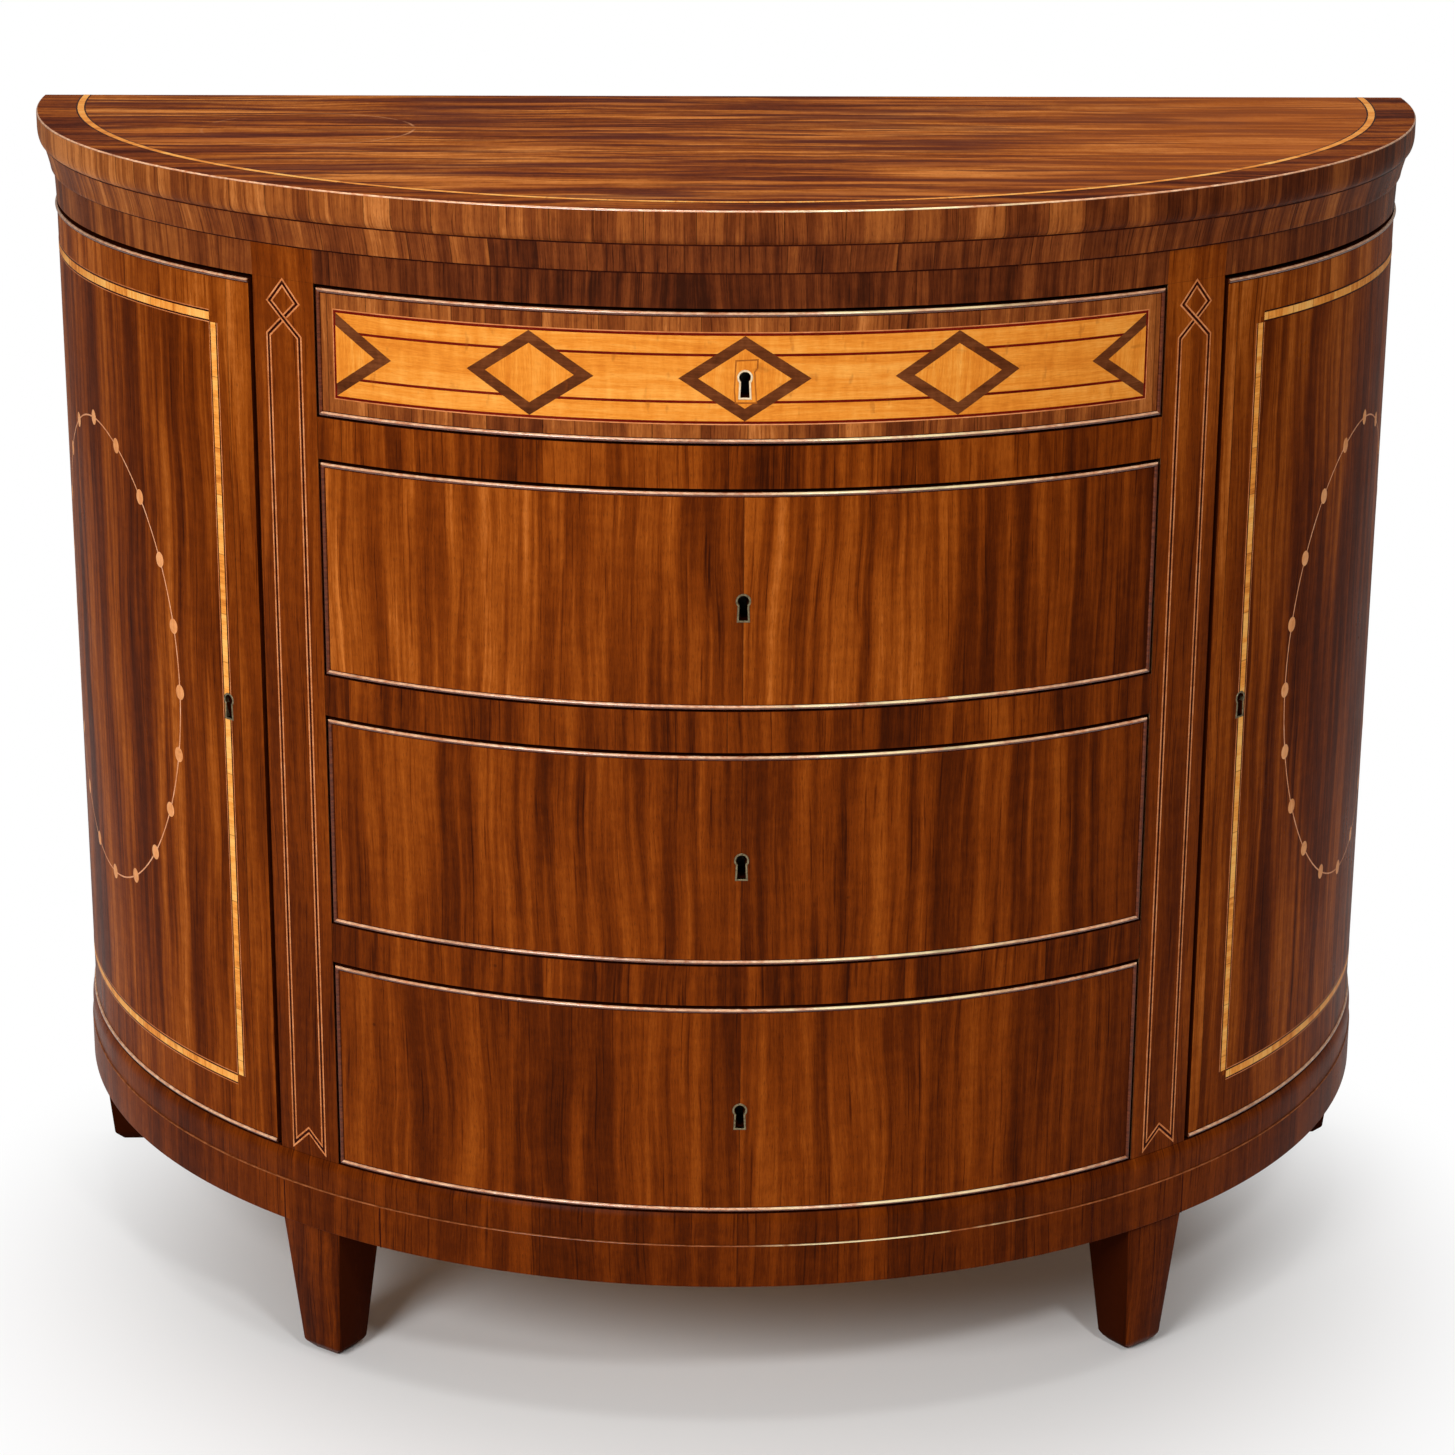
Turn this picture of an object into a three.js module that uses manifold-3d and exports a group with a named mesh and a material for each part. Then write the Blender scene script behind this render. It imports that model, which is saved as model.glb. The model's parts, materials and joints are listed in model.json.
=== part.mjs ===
// A half-round chest of drawers in millimetres, with +Z up: four drawers between two cupboards.
// All of it is laid out round the upright axis of its curved front, which lies in the plane
// of its back. The front faces -Y, and an angle is counted from there towards +X.

import * as THREE from 'three';
import { mergeVertices } from 'three/addons/utils/BufferGeometryUtils.js';
import Module from 'manifold-3d';

const wasm = await Module();
wasm.setup();

// Curves are cut into facets on one grid of angles, so curved pieces stay parallel.
const facetDegrees = 3;
const nearEndShare = 0.1; // of a facet: a grid point nearer than this to an end is left out
const keyholeSegments = 7;
const pinSegments = 16;

// Clearances
const glueGap = 0.3;        // between pieces that are glued together or rest on each other
const cutOverrun = 2;       // how far a cutter runs past the face that it opens
const drawerFloorGap = 0.5; // under a drawer
const drawerHeadGap = 1.2;  // over a drawer front
const drawerSideGap = 1;    // beside a drawer
const doorGap = 1.6;        // round a door
const pinGap = 0.3;         // round a pivot pin

// The case: its plan and its heights, from the floor up
const bodyRadius = 535;
const footHeight = 112;
const plinthHeight = 33;
const plinthProud = 4;
const plinthThickness = 22;
const bottomThickness = 24;
const bottomProud = 3;
const openingHeights = [162.5, 160, 159.5, 94.5]; // clear heights for the drawers, lowest first
const openingHalfWidth = 297.6;
const railHeight = 30;
const railDepth = 40;
const dustBoardThickness = 12;
const friezeHeight = 24.5;
const friezeProud = 1;
const corniceHeight = 19.8;
const corniceHeadProud = 8;
const corniceFootProud = 3.5;
const corniceSwellShare = 0.33; // of the run from the cornice's foot to its head, at half height
const topThickness = 23.8;
const topProud = 12.5;
const topFootProud = 9.5;
const topArris = 1;
const topUprightEdge = 11;
const topSwellShare = 0.25;  // of the run from the top's upright edge to its foot, at half height
const stileWidth = 56.5;
const stileThickness = 30;
const partitionThickness = 18;
const backThickness = 10;
const rearPostWidth = 14;
const rearPostThickness = 30;

// Feet
const footWidth = 56;
const footDepth = 50;
const footFaceProud = 1;
const footSideTaper = 10.5;
const footFaceTaper = 8;
const footBackTaper = 10;
const footArris = 3;
const footPostInset = 3;     // of the post's sides and back from the leg's
const rearFootWidth = 38;
const rearFootTaper = 16;    // of the rear feet's front, whose back stands upright

// Drawers
const frontThickness = 22;
const beadWidth = 3;
const beadProud = 1.5;
const drawerEndSpace = 25;    // behind a drawer that is shut
const drawerSideThickness = 11;
const drawerSideDrop = 7;     // how far the sides stop below the front's top edge
const drawerBackThickness = 10;
const drawerBottomThickness = 6;
const drawerBottomRise = 8;   // of the bottom's underside above the lower edge
const grooveDepth = 4;

// Doors and their pivot pins
const doorThickness = 22;
const pinRadius = 2.5;
const pinReach = 12;          // into the door, and into the board that holds it
const pinInset = 8;           // of the pin's axis from the door's face and from its end
const doorBeadStop = 16;      // of a door's bead before the pin's axis, so that it clears the rear post
const pinCollarRadius = 5;
const pinCollarHeight = 1;
const endRoundSteps = 4;

// Keyholes, their liners and the locks
const keyholeRadius = 4;
const keyholeHeight = 17.8;
const keyholeWaist = 5.4;
const keyholeFootWidth = 6.4;
const keyholeDrop = 4.5;      // of a drawer's keyhole below the middle of its opening
const keyholeInset = 40;      // of a door's keyhole from its front edge, along the curve
const doorKeyholeRise = 7;    // of a door's keyhole above the middle of the door
const linerWall = 1.4;
const linerDepth = 3;
const lockWidth = 60;
const lockHeight = 54;
const lockSpace = 1.25;       // between a lock and the bottom of the shallowest drawer
const lockThickness = 14;
const lockLetIn = 4;
const lockHoleDepth = 9;
const boltWidth = 14;
const boltThickness = 4;
const boltEdgeWood = 1.5;     // wood left between the bolt's end and the edge

// Materials
const mahogany = { color: 0x6b2c12, roughness: 0.35, metalness: 0 };
const topVeneer = { color: 0x7a3716, roughness: 0.3, metalness: 0 };
const liningWood = { color: 0xb98a58, roughness: 0.7, metalness: 0 };
const ironwork = { color: 0x4a443c, roughness: 0.5, metalness: 0.9 };
const brasswork = { color: 0xb59a62, roughness: 0.4, metalness: 1 };

// Worked out from the sizes above
const radians = Math.PI / 180;
const quarterTurn = Math.PI / 2;
const facet = facetDegrees * radians;
const facetRatio = Math.cos(facet / 2);
const plinthFloor = footHeight;
const bottomFloor = plinthFloor + plinthHeight + glueGap;
const caseFloor = bottomFloor + bottomThickness;
const openingFloors = openingHeights.map((height, level) => (
  openingHeights.slice(0, level).reduce((sum, below) => sum + below + railHeight, caseFloor)));
const caseHead = openingFloors.at(-1) + openingHeights.at(-1);
const corniceFloor = caseHead + friezeHeight + glueGap;
const topFloor = corniceFloor + corniceHeight + glueGap;
const topRadius = bodyRadius + topProud;
const stileInnerRadius = bodyRadius - stileThickness;
const stileStart = Math.asin(openingHalfWidth / bodyRadius);
const stileEnd = stileStart + stileWidth / bodyRadius;
const footAngle = (stileStart + stileEnd) / 2;
const panelFace = backThickness + glueGap;
const postStart = quarterTurn - rearPostWidth / bodyRadius;
const postInnerRadius = bodyRadius - rearPostThickness;
const pinAxisRadius = bodyRadius - pinInset;
const pinAngle = postStart - (pinInset + doorGap) / pinAxisRadius;
const doorStart = stileEnd + doorGap / bodyRadius;
const doorInnerRadius = bodyRadius - doorThickness;
const doorFloor = caseFloor + doorGap;
const doorHead = caseHead - doorGap;
const drawerInnerRadius = bodyRadius - frontThickness;
const drawerHalfWidth = openingHalfWidth - drawerSideGap;
const drawerInnerHalfWidth = drawerHalfWidth - drawerSideThickness;
const drawerEnd = -(panelFace + drawerEndSpace);
const shallowest = Math.min(...openingHeights);
const drawerBottomHead = drawerFloorGap + drawerBottomRise + drawerBottomThickness;
const lockDrop = shallowest / 2 - keyholeDrop - drawerBottomHead - lockSpace; // below the keyhole's middle

// A point of the plan, at a radius and an angle from the front
function planPoint(radius, angle) {
  return new THREE.Vector2(radius * Math.sin(angle), -radius * Math.cos(angle));
}

// How far back a circle of the plan lies at a place across it
function circleBack(radius, across) {
  return -Math.sqrt(radius * radius - across * across);
}

// Points along a circle of the plan, on the facet grid, with both ends
function arcPoints(radius, from, to) {
  const points = [planPoint(radius, from)];
  const first = Math.floor(from / facet) + 1;
  for (let step = first; step * facet < to; step += 1) {
    const nearEnd = Math.min(step * facet - from, to - step * facet) < facet * nearEndShare;
    if (!nearEnd) points.push(planPoint(radius, step * facet));
  }
  points.push(planPoint(radius, to));
  return points;
}

// Points along a circle of the plan between two places across it
function arcAcross(radius, left, right) {
  return arcPoints(radius, Math.asin(left / radius), Math.asin(right / radius));
}

// A solid of one plan outline between two heights
function prism(points, low, high) {
  const geometry = new THREE.ExtrudeGeometry(new THREE.Shape(points), {
    depth: high - low, bevelEnabled: false, steps: 1,
  });
  return geometry.translate(0, 0, low);
}

// A block from its lowest to its highest corner
function block(low, high) {
  const outline = [
    new THREE.Vector2(low.x, low.y),
    new THREE.Vector2(high.x, low.y),
    new THREE.Vector2(high.x, high.y),
    new THREE.Vector2(low.x, high.y),
  ];
  return prism(outline, low.z, high.z);
}

// A solid through rectangular sections, each { z, left, right, front, back }, lowest first
function loft(sections) {
  const places = [];
  const triangles = [];
  for (const { z, left, right, front, back } of sections) {
    places.push(left, front, z, right, front, z, right, back, z, left, back, z);
  }
  for (let ring = 0; ring + 1 < sections.length; ring += 1) {
    for (let side = 0; side < 4; side += 1) {
      const here = ring * 4 + side;
      const next = ring * 4 + (side + 1) % 4;
      triangles.push(here, next, next + 4, here, next + 4, here + 4);
    }
  }
  const last = (sections.length - 1) * 4;
  triangles.push(0, 2, 1, 0, 3, 2, last, last + 1, last + 2, last, last + 2, last + 3);
  const geometry = new THREE.BufferGeometry();
  geometry.setAttribute('position', new THREE.Float32BufferAttribute(places, 3));
  geometry.setIndex(triangles);
  return geometry;
}

function toSolid(geometry) {
  const bare = new THREE.BufferGeometry();
  bare.setAttribute('position', geometry.getAttribute('position'));
  bare.setIndex(geometry.getIndex());
  const merged = mergeVertices(bare);
  return new wasm.Manifold(new wasm.Mesh({
    numProp: 3,
    vertProperties: Float32Array.from(merged.getAttribute('position').array),
    triVerts: Uint32Array.from(merged.getIndex().array),
  }));
}

function toGeometry(solid) {
  const { vertProperties, triVerts } = solid.getMesh();
  const geometry = new THREE.BufferGeometry();
  geometry.setAttribute('position', new THREE.BufferAttribute(vertProperties, 3));
  geometry.setIndex(new THREE.BufferAttribute(triVerts, 1));
  return geometry;
}

function cut(geometry, ...cutters) {
  return toGeometry(cutters.reduce((solid, cutter) => solid.subtract(toSolid(cutter)), toSolid(geometry)));
}

function join(geometry, ...others) {
  return toGeometry(others.reduce((solid, other) => solid.add(toSolid(other)), toSolid(geometry)));
}

const chest = new THREE.Group();
chest.name = 'chest';
chest.position.y = topRadius / 2;

function addPiece(name, geometry, finish) {
  const flat = geometry.index ? geometry.toNonIndexed() : geometry;
  flat.computeVertexNormals();
  const mesh = new THREE.Mesh(flat, new THREE.MeshStandardMaterial(finish));
  mesh.name = name;
  chest.add(mesh);
  return mesh;
}

// A half-round board with a moulded edge, from { proud, z } points of the edge, lowest first
function mouldedBoard(edge) {
  const profile = [
    new THREE.Vector2(0, edge[0].z),
    ...edge.map(({ proud, z }) => new THREE.Vector2(bodyRadius + proud, z)),
    new THREE.Vector2(0, edge.at(-1).z),
  ];
  const round = new THREE.LatheGeometry(profile, Math.round(2 * Math.PI / facet)).rotateX(quarterTurn);
  const reach = 2 * bodyRadius;
  const rear = block(
    new THREE.Vector3(-reach, 0, edge[0].z - cutOverrun),
    new THREE.Vector3(reach, reach, edge.at(-1).z + cutOverrun),
  );
  return cut(round, rear);
}

// A half-round board with a plain edge
function plainBoard(proud, low, high) {
  return prism(arcPoints(bodyRadius + proud, -quarterTurn, quarterTurn), low, high);
}

function addTop() {
  const head = topFloor + topThickness;
  const uprightFoot = head - topArris - topUprightEdge;
  const footRun = topProud - topFootProud;
  addPiece('top_board', mouldedBoard([
    { proud: topFootProud, z: topFloor },
    { proud: topProud - footRun * topSwellShare, z: (topFloor + uprightFoot) / 2 },
    { proud: topProud, z: uprightFoot },
    { proud: topProud, z: head - topArris },
    { proud: topProud - topArris, z: head },
  ]), topVeneer);
  const coveRun = corniceHeadProud - corniceFootProud;
  addPiece('cornice', mouldedBoard([
    { proud: corniceFootProud, z: corniceFloor },
    { proud: corniceFootProud + coveRun * corniceSwellShare, z: corniceFloor + corniceHeight / 2 },
    { proud: corniceHeadProud, z: corniceFloor + corniceHeight },
  ]), mahogany);
}

// The hole for half a pivot pin, from the face at one height to its end
function pinHole(side, radius, from, to) {
  const place = planPoint(pinAxisRadius, side * pinAngle);
  const height = Math.abs(to - from) + cutOverrun;
  const middle = (from + to) / 2 - Math.sign(to - from) * cutOverrun / 2;
  return new THREE.CylinderGeometry(radius, radius, height, pinSegments)
    .rotateX(quarterTurn)
    .translate(place.x, place.y, middle);
}

function addCaseBoards() {
  const holeRadius = pinRadius + pinGap;
  const holeReach = pinReach + pinGap;
  const bottomHoles = [-1, 1].map((side) => pinHole(side, holeRadius, caseFloor, caseFloor - holeReach));
  const headHoles = [-1, 1].map((side) => pinHole(side, holeRadius, caseHead, caseHead + holeReach));
  addPiece('carcass_top', cut(
    plainBoard(friezeProud, caseHead, caseHead + friezeHeight), ...headHoles), mahogany);
  addPiece('bottom_board', cut(
    plainBoard(bottomProud, bottomFloor, caseFloor), ...bottomHoles), mahogany);
}

function addPlinth() {
  const outer = bodyRadius + plinthProud;
  const outline = [
    ...arcPoints(outer, -quarterTurn, quarterTurn),
    ...arcPoints(outer - plinthThickness, -quarterTurn, quarterTurn).reverse(),
  ];
  addPiece('plinth', prism(outline, plinthFloor, plinthFloor + plinthHeight), mahogany);
}

// Each foot has a tapered leg under the plinth and a post behind it, up to the bottom board.
function footGeometry(width, leftTaper, rightTaper) {
  const face = -(bodyRadius + footFaceProud);
  const back = face + footDepth;
  const half = width / 2;
  const shoulder = plinthFloor - glueGap;
  const sole = {
    left: -half + leftTaper,
    right: half - rightTaper,
    front: face + footFaceTaper,
    back: back - footBackTaper,
  };
  const leg = loft([
    {
      z: 0,
      left: sole.left + footArris,
      right: sole.right - footArris,
      front: sole.front + footArris,
      back: sole.back - footArris,
    },
    { z: footArris, ...sole },
    { z: shoulder, left: -half, right: half, front: face, back },
  ]);
  const plinthInside = (bodyRadius + plinthProud - plinthThickness) * facetRatio - glueGap;
  const postFace = circleBack(plinthInside, width + glueGap);
  const postHalf = half - footPostInset;
  const post = block(
    new THREE.Vector3(-postHalf, postFace, shoulder - cutOverrun),
    new THREE.Vector3(postHalf, back - footPostInset, bottomFloor - glueGap),
  );
  return join(leg, post);
}

function addFeet() {
  const rearSet = rearFootWidth / 2 + glueGap;
  for (const [name, side] of [['left', -1], ['right', 1]]) {
    const front = addPiece(`${name}_front_foot`, footGeometry(footWidth, footSideTaper, footSideTaper), mahogany);
    front.rotation.z = side * footAngle;
    const tapers = side < 0 ? [0, rearFootTaper] : [rearFootTaper, 0];
    const rear = addPiece(`${name}_rear_foot`, footGeometry(rearFootWidth, ...tapers), mahogany);
    rear.rotation.z = side * quarterTurn;
    rear.position.y = -rearSet;
  }
}

function addUprights() {
  const foot = caseFloor + glueGap;
  const head = caseHead - glueGap;
  for (const [name, side] of [['left', -1], ['right', 1]]) {
    const mirrored = (points) => points.map((point) => new THREE.Vector2(side * point.x, point.y));
    const innerEnd = Math.asin(openingHalfWidth / stileInnerRadius);
    const stile = [
      ...arcPoints(bodyRadius, stileStart, stileEnd),
      ...arcPoints(stileInnerRadius, innerEnd, stileEnd).reverse(),
    ];
    addPiece(`${name}_stile`, prism(mirrored(stile), foot, head), mahogany);

    const outside = openingHalfWidth + partitionThickness;
    const partition = [
      ...arcAcross(stileInnerRadius * facetRatio - glueGap, openingHalfWidth, outside),
      new THREE.Vector2(outside, -panelFace),
      new THREE.Vector2(openingHalfWidth, -panelFace),
    ];
    addPiece(`${name}_partition`, prism(mirrored(partition), foot, head), liningWood);

    const post = [
      ...arcPoints(bodyRadius, postStart, quarterTurn),
      planPoint(postInnerRadius, quarterTurn),
      planPoint(postInnerRadius, postStart),
    ];
    addPiece(`${name}_rear_post`, prism(mirrored(post), foot, head), mahogany);
  }
  const panelHalf = postInnerRadius * Math.sin(postStart) - glueGap;
  addPiece('back_panel', block(
    new THREE.Vector3(-panelHalf, -backThickness, foot),
    new THREE.Vector3(panelHalf, 0, head),
  ), liningWood);
}

function addRails() {
  const half = openingHalfWidth - glueGap;
  const railInner = bodyRadius - railDepth;
  openingFloors.slice(1).forEach((head, index) => {
    const number = openingHeights.length - 1 - index;
    const rail = [
      ...arcAcross(bodyRadius, -half, half),
      ...arcAcross(railInner, -half, half).reverse(),
    ];
    addPiece(`drawer_rail_${number}`, prism(rail, head - railHeight, head), mahogany);
    const board = [
      ...arcAcross(railInner * facetRatio - glueGap, -half, half),
      new THREE.Vector2(half, -panelFace),
      new THREE.Vector2(-half, -panelFace),
    ];
    addPiece(`dust_board_${number}`, prism(board, head - dustBoardThickness, head), liningWood);
  });
}

// The outline of a keyhole about its middle, grown by a margin on every side
function keyholeOutline(margin) {
  const radius = keyholeRadius + margin;
  const centre = keyholeHeight / 2 - keyholeRadius;
  const waist = keyholeWaist / 2 + margin;
  const foot = -keyholeHeight / 2 - margin;
  const footHalf = keyholeFootWidth / 2 + margin;
  const start = Math.asin(waist / radius);
  const outline = [new THREE.Vector2(-footHalf, foot), new THREE.Vector2(footHalf, foot)];
  for (let step = 0; step <= keyholeSegments; step += 1) {
    const turn = start + (2 * Math.PI - 2 * start) * step / keyholeSegments;
    outline.push(new THREE.Vector2(radius * Math.sin(turn), centre - radius * Math.cos(turn)));
  }
  return outline;
}

// A keyhole's solid, running inwards from a face, at the middle of the front
function keyholeCutter(margin, face, depth, height, hole) {
  const shape = new THREE.Shape(keyholeOutline(margin));
  if (hole) shape.holes.push(new THREE.Path(keyholeOutline(0)));
  const geometry = new THREE.ExtrudeGeometry(shape, { depth, bevelEnabled: false, steps: 1 });
  return geometry.rotateX(quarterTurn).translate(0, face + depth, height);
}

// The lock: a flat case behind the keyhole and a bolt bar to the edge that it locks.
// The reach runs from the keyhole's middle to the bolt's end, up or to one side.
function lockGeometry(height, reach, sideways, margin) {
  const face = -(bodyRadius - frontThickness) - lockLetIn;
  const half = lockWidth / 2 + margin;
  const low = height - lockDrop - margin;
  const high = height - lockDrop + lockHeight + margin;
  const bolt = boltWidth / 2 + margin;
  const end = Math.sign(reach) * (Math.abs(reach) + margin);
  const rear = face + lockThickness + (margin > 0 ? cutOverrun : 0);
  const boltRear = face + boltThickness + (margin > 0 ? lockLetIn + cutOverrun : 0);
  const casing = block(
    new THREE.Vector3(-half, face - margin, low),
    new THREE.Vector3(half, rear, high),
  );
  const bar = sideways
    ? block(
      new THREE.Vector3(Math.min(0, end), face - margin, height - bolt),
      new THREE.Vector3(Math.max(0, end), boltRear, height + bolt),
    )
    : block(
      new THREE.Vector3(-bolt, face - margin, height),
      new THREE.Vector3(bolt, boltRear, height + end),
    );
  return join(casing, bar);
}

// A lock, its keyhole's liner and the cutters for the wood, drawn at the middle of the front
function keyholeSet(height, reach, sideways) {
  const throughDepth = frontThickness + 2 * cutOverrun;
  const lockFace = -(bodyRadius - frontThickness) - lockLetIn;
  const lockKeyhole = keyholeCutter(0, lockFace - cutOverrun, lockHoleDepth + cutOverrun, height);
  return {
    lock: cut(lockGeometry(height, reach, sideways, 0), lockKeyhole),
    liner: keyholeCutter(linerWall, -bodyRadius, linerDepth, height, true),
    cutters: [
      lockGeometry(height, reach, sideways, glueGap),
      keyholeCutter(0, -bodyRadius - cutOverrun, throughDepth, height),
      keyholeCutter(linerWall + glueGap, -bodyRadius - cutOverrun, linerDepth + glueGap + cutOverrun, height),
    ],
  };
}

// One drawer: its front with a raised bead, two sides and a back, and a bottom in their grooves
function addDrawer(number, opening, clearHeight) {
  const name = `drawer_${number}`;
  const low = opening + drawerFloorGap;
  const high = opening + clearHeight - drawerHeadGap;
  const beadRadius = bodyRadius + beadProud;
  const fieldHalf = drawerHalfWidth - beadWidth;

  const frontOutline = [
    ...arcAcross(beadRadius, -drawerHalfWidth, drawerHalfWidth),
    ...arcAcross(drawerInnerRadius, -drawerHalfWidth, drawerHalfWidth).reverse(),
  ];
  const fieldOutline = [
    ...arcAcross(beadRadius + cutOverrun, -fieldHalf, fieldHalf),
    ...arcAcross(bodyRadius, -fieldHalf, fieldHalf).reverse(),
  ];

  const bottomLow = low + drawerBottomRise;
  const bottomHigh = bottomLow + drawerBottomThickness;
  const bottomHalf = drawerInnerHalfWidth + grooveDepth - glueGap;
  const bottomOutline = (margin) => [
    ...arcAcross(drawerInnerRadius * facetRatio + grooveDepth - glueGap + margin,
      -bottomHalf - margin, bottomHalf + margin),
    new THREE.Vector2(bottomHalf + margin, drawerEnd + margin),
    new THREE.Vector2(-bottomHalf - margin, drawerEnd + margin),
  ];
  const groove = prism(bottomOutline(glueGap), bottomLow - glueGap, bottomHigh + glueGap);

  const keyholeAt = opening + clearHeight / 2 - keyholeDrop;
  const { lock, liner, cutters } = keyholeSet(keyholeAt, high - boltEdgeWood - keyholeAt, false);
  addPiece(`${name}_front`, cut(
    prism(frontOutline, low, high),
    prism(fieldOutline, low + beadWidth, high - beadWidth),
    groove,
    ...cutters,
  ), mahogany);
  addPiece(`${name}_lock`, lock, ironwork);
  addPiece(`${name}_keyhole_liner`, liner, brasswork);

  const sideHigh = high - drawerSideDrop;
  const sideRadius = drawerInnerRadius * facetRatio - glueGap;
  for (const [sideName, side] of [['left', -1], ['right', 1]]) {
    const outline = [
      ...arcAcross(sideRadius, drawerInnerHalfWidth, drawerHalfWidth),
      new THREE.Vector2(drawerHalfWidth, drawerEnd),
      new THREE.Vector2(drawerInnerHalfWidth, drawerEnd),
    ].map((point) => new THREE.Vector2(side * point.x, point.y));
    addPiece(`${name}_${sideName}_side`, cut(
      prism(outline, low, sideHigh),
      groove,
    ), liningWood);
  }

  const backHalf = drawerInnerHalfWidth - glueGap;
  addPiece(`${name}_back`, block(
    new THREE.Vector3(-backHalf, drawerEnd - drawerBackThickness, bottomHigh + glueGap),
    new THREE.Vector3(backHalf, drawerEnd, sideHigh),
  ), liningWood);
  addPiece(`${name}_bottom`, prism(bottomOutline(0), bottomLow, bottomHigh), liningWood);
}

// A door, drawn on the right: its rear edge is rounded about the pivot pin's axis.
function doorOutline() {
  const across = planPoint(1, pinAngle);
  const along = planPoint(1, pinAngle + quarterTurn);
  const axis = planPoint(pinAxisRadius, pinAngle);
  const at = (outwards, rearwards) => axis.clone()
    .addScaledVector(across, outwards)
    .addScaledVector(along, rearwards);
  const outline = arcPoints(bodyRadius, doorStart, pinAngle);
  for (let step = 1; step <= endRoundSteps; step += 1) {
    const turn = quarterTurn * step / endRoundSteps;
    outline.push(at(pinInset * Math.cos(turn), pinInset * Math.sin(turn)));
  }
  outline.push(at(pinInset - doorThickness, pinInset));
  outline.push(...arcPoints(doorInnerRadius, doorStart, pinAngle).reverse());
  return outline;
}

// The raised bead along the head, foot and front edge of a door
function doorBead(mirrored) {
  const beadEnd = pinAngle - doorBeadStop / bodyRadius;
  const beadRadius = bodyRadius + beadProud;
  const whole = [
    ...arcPoints(beadRadius, doorStart, beadEnd),
    ...arcPoints(bodyRadius - beadWidth, doorStart, beadEnd).reverse(),
  ];
  const fieldStart = doorStart + beadWidth / bodyRadius;
  const fieldEnd = beadEnd + beadWidth / bodyRadius;
  const field = [
    ...arcPoints(beadRadius + cutOverrun, fieldStart, fieldEnd),
    ...arcPoints(bodyRadius, fieldStart, fieldEnd).reverse(),
  ];
  return cut(
    prism(mirrored(whole), doorFloor, doorHead),
    prism(mirrored(field), doorFloor + beadWidth, doorHead - beadWidth),
  );
}

function addDoor(name, side) {
  const mirrored = (points) => points.map((point) => new THREE.Vector2(side * point.x, point.y));
  const keyholeAt = (caseFloor + caseHead) / 2 + doorKeyholeRise;
  const keyholeAngle = doorStart + keyholeInset / bodyRadius;
  const boltReach = doorInnerRadius * Math.tan(keyholeInset / bodyRadius) - boltEdgeWood;
  const { lock, liner, cutters } = keyholeSet(keyholeAt, -side * boltReach, true);
  const turn = side * keyholeAngle;
  const holeRadius = pinRadius + pinGap;
  const holeReach = pinReach + pinGap;
  addPiece(`${name}_door`, cut(
    join(prism(mirrored(doorOutline()), doorFloor, doorHead), doorBead(mirrored)),
    pinHole(side, holeRadius, doorFloor, doorFloor + holeReach),
    pinHole(side, holeRadius, doorHead, doorHead - holeReach),
    ...cutters.map((cutter) => cutter.rotateZ(turn)),
  ), mahogany);
  addPiece(`${name}_door_lock`, lock, ironwork).rotation.z = turn;
  addPiece(`${name}_door_keyhole_liner`, liner, brasswork).rotation.z = turn;
}

// A pivot pin with a collar in the gap between the door and the board that holds the pin
function addPin(name, side, face, upwards) {
  const collarStart = glueGap;
  const collarEnd = glueGap + pinCollarHeight;
  const profile = [
    new THREE.Vector2(0, -pinReach),
    new THREE.Vector2(pinRadius, -pinReach),
    new THREE.Vector2(pinRadius, collarStart),
    new THREE.Vector2(pinCollarRadius, collarStart),
    new THREE.Vector2(pinCollarRadius, collarEnd),
    new THREE.Vector2(pinRadius, collarEnd),
    new THREE.Vector2(pinRadius, doorGap + pinReach),
    new THREE.Vector2(0, doorGap + pinReach),
  ];
  const pin = addPiece(name, new THREE.LatheGeometry(profile, pinSegments), brasswork);
  const place = planPoint(pinAxisRadius, side * pinAngle);
  pin.position.set(place.x, place.y, face);
  pin.rotation.x = upwards ? quarterTurn : -quarterTurn;
}

addTop();
addCaseBoards();
addPlinth();
addFeet();
addUprights();
addRails();
openingHeights.forEach((clearHeight, level) => {
  addDrawer(openingHeights.length - level, openingFloors[level], clearHeight);
});
for (const [name, side] of [['left', -1], ['right', 1]]) {
  addDoor(name, side);
  addPin(`${name}_door_foot_pivot`, side, caseFloor, true);
  addPin(`${name}_door_head_pivot`, side, caseHead, false);
}

export default chest;
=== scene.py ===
"""The looks of a half-round chest of drawers in inlaid mahogany, in metres.

Everything on the curved front is drawn flat first: the first coordinate runs along the front
from its middle, the second runs inwards from the face, and the third is the height.
A node tree then lays the drawing round the front's upright axis.
"""

import json
import math

import bmesh
import bpy
from mathutils import Matrix, Vector


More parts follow.
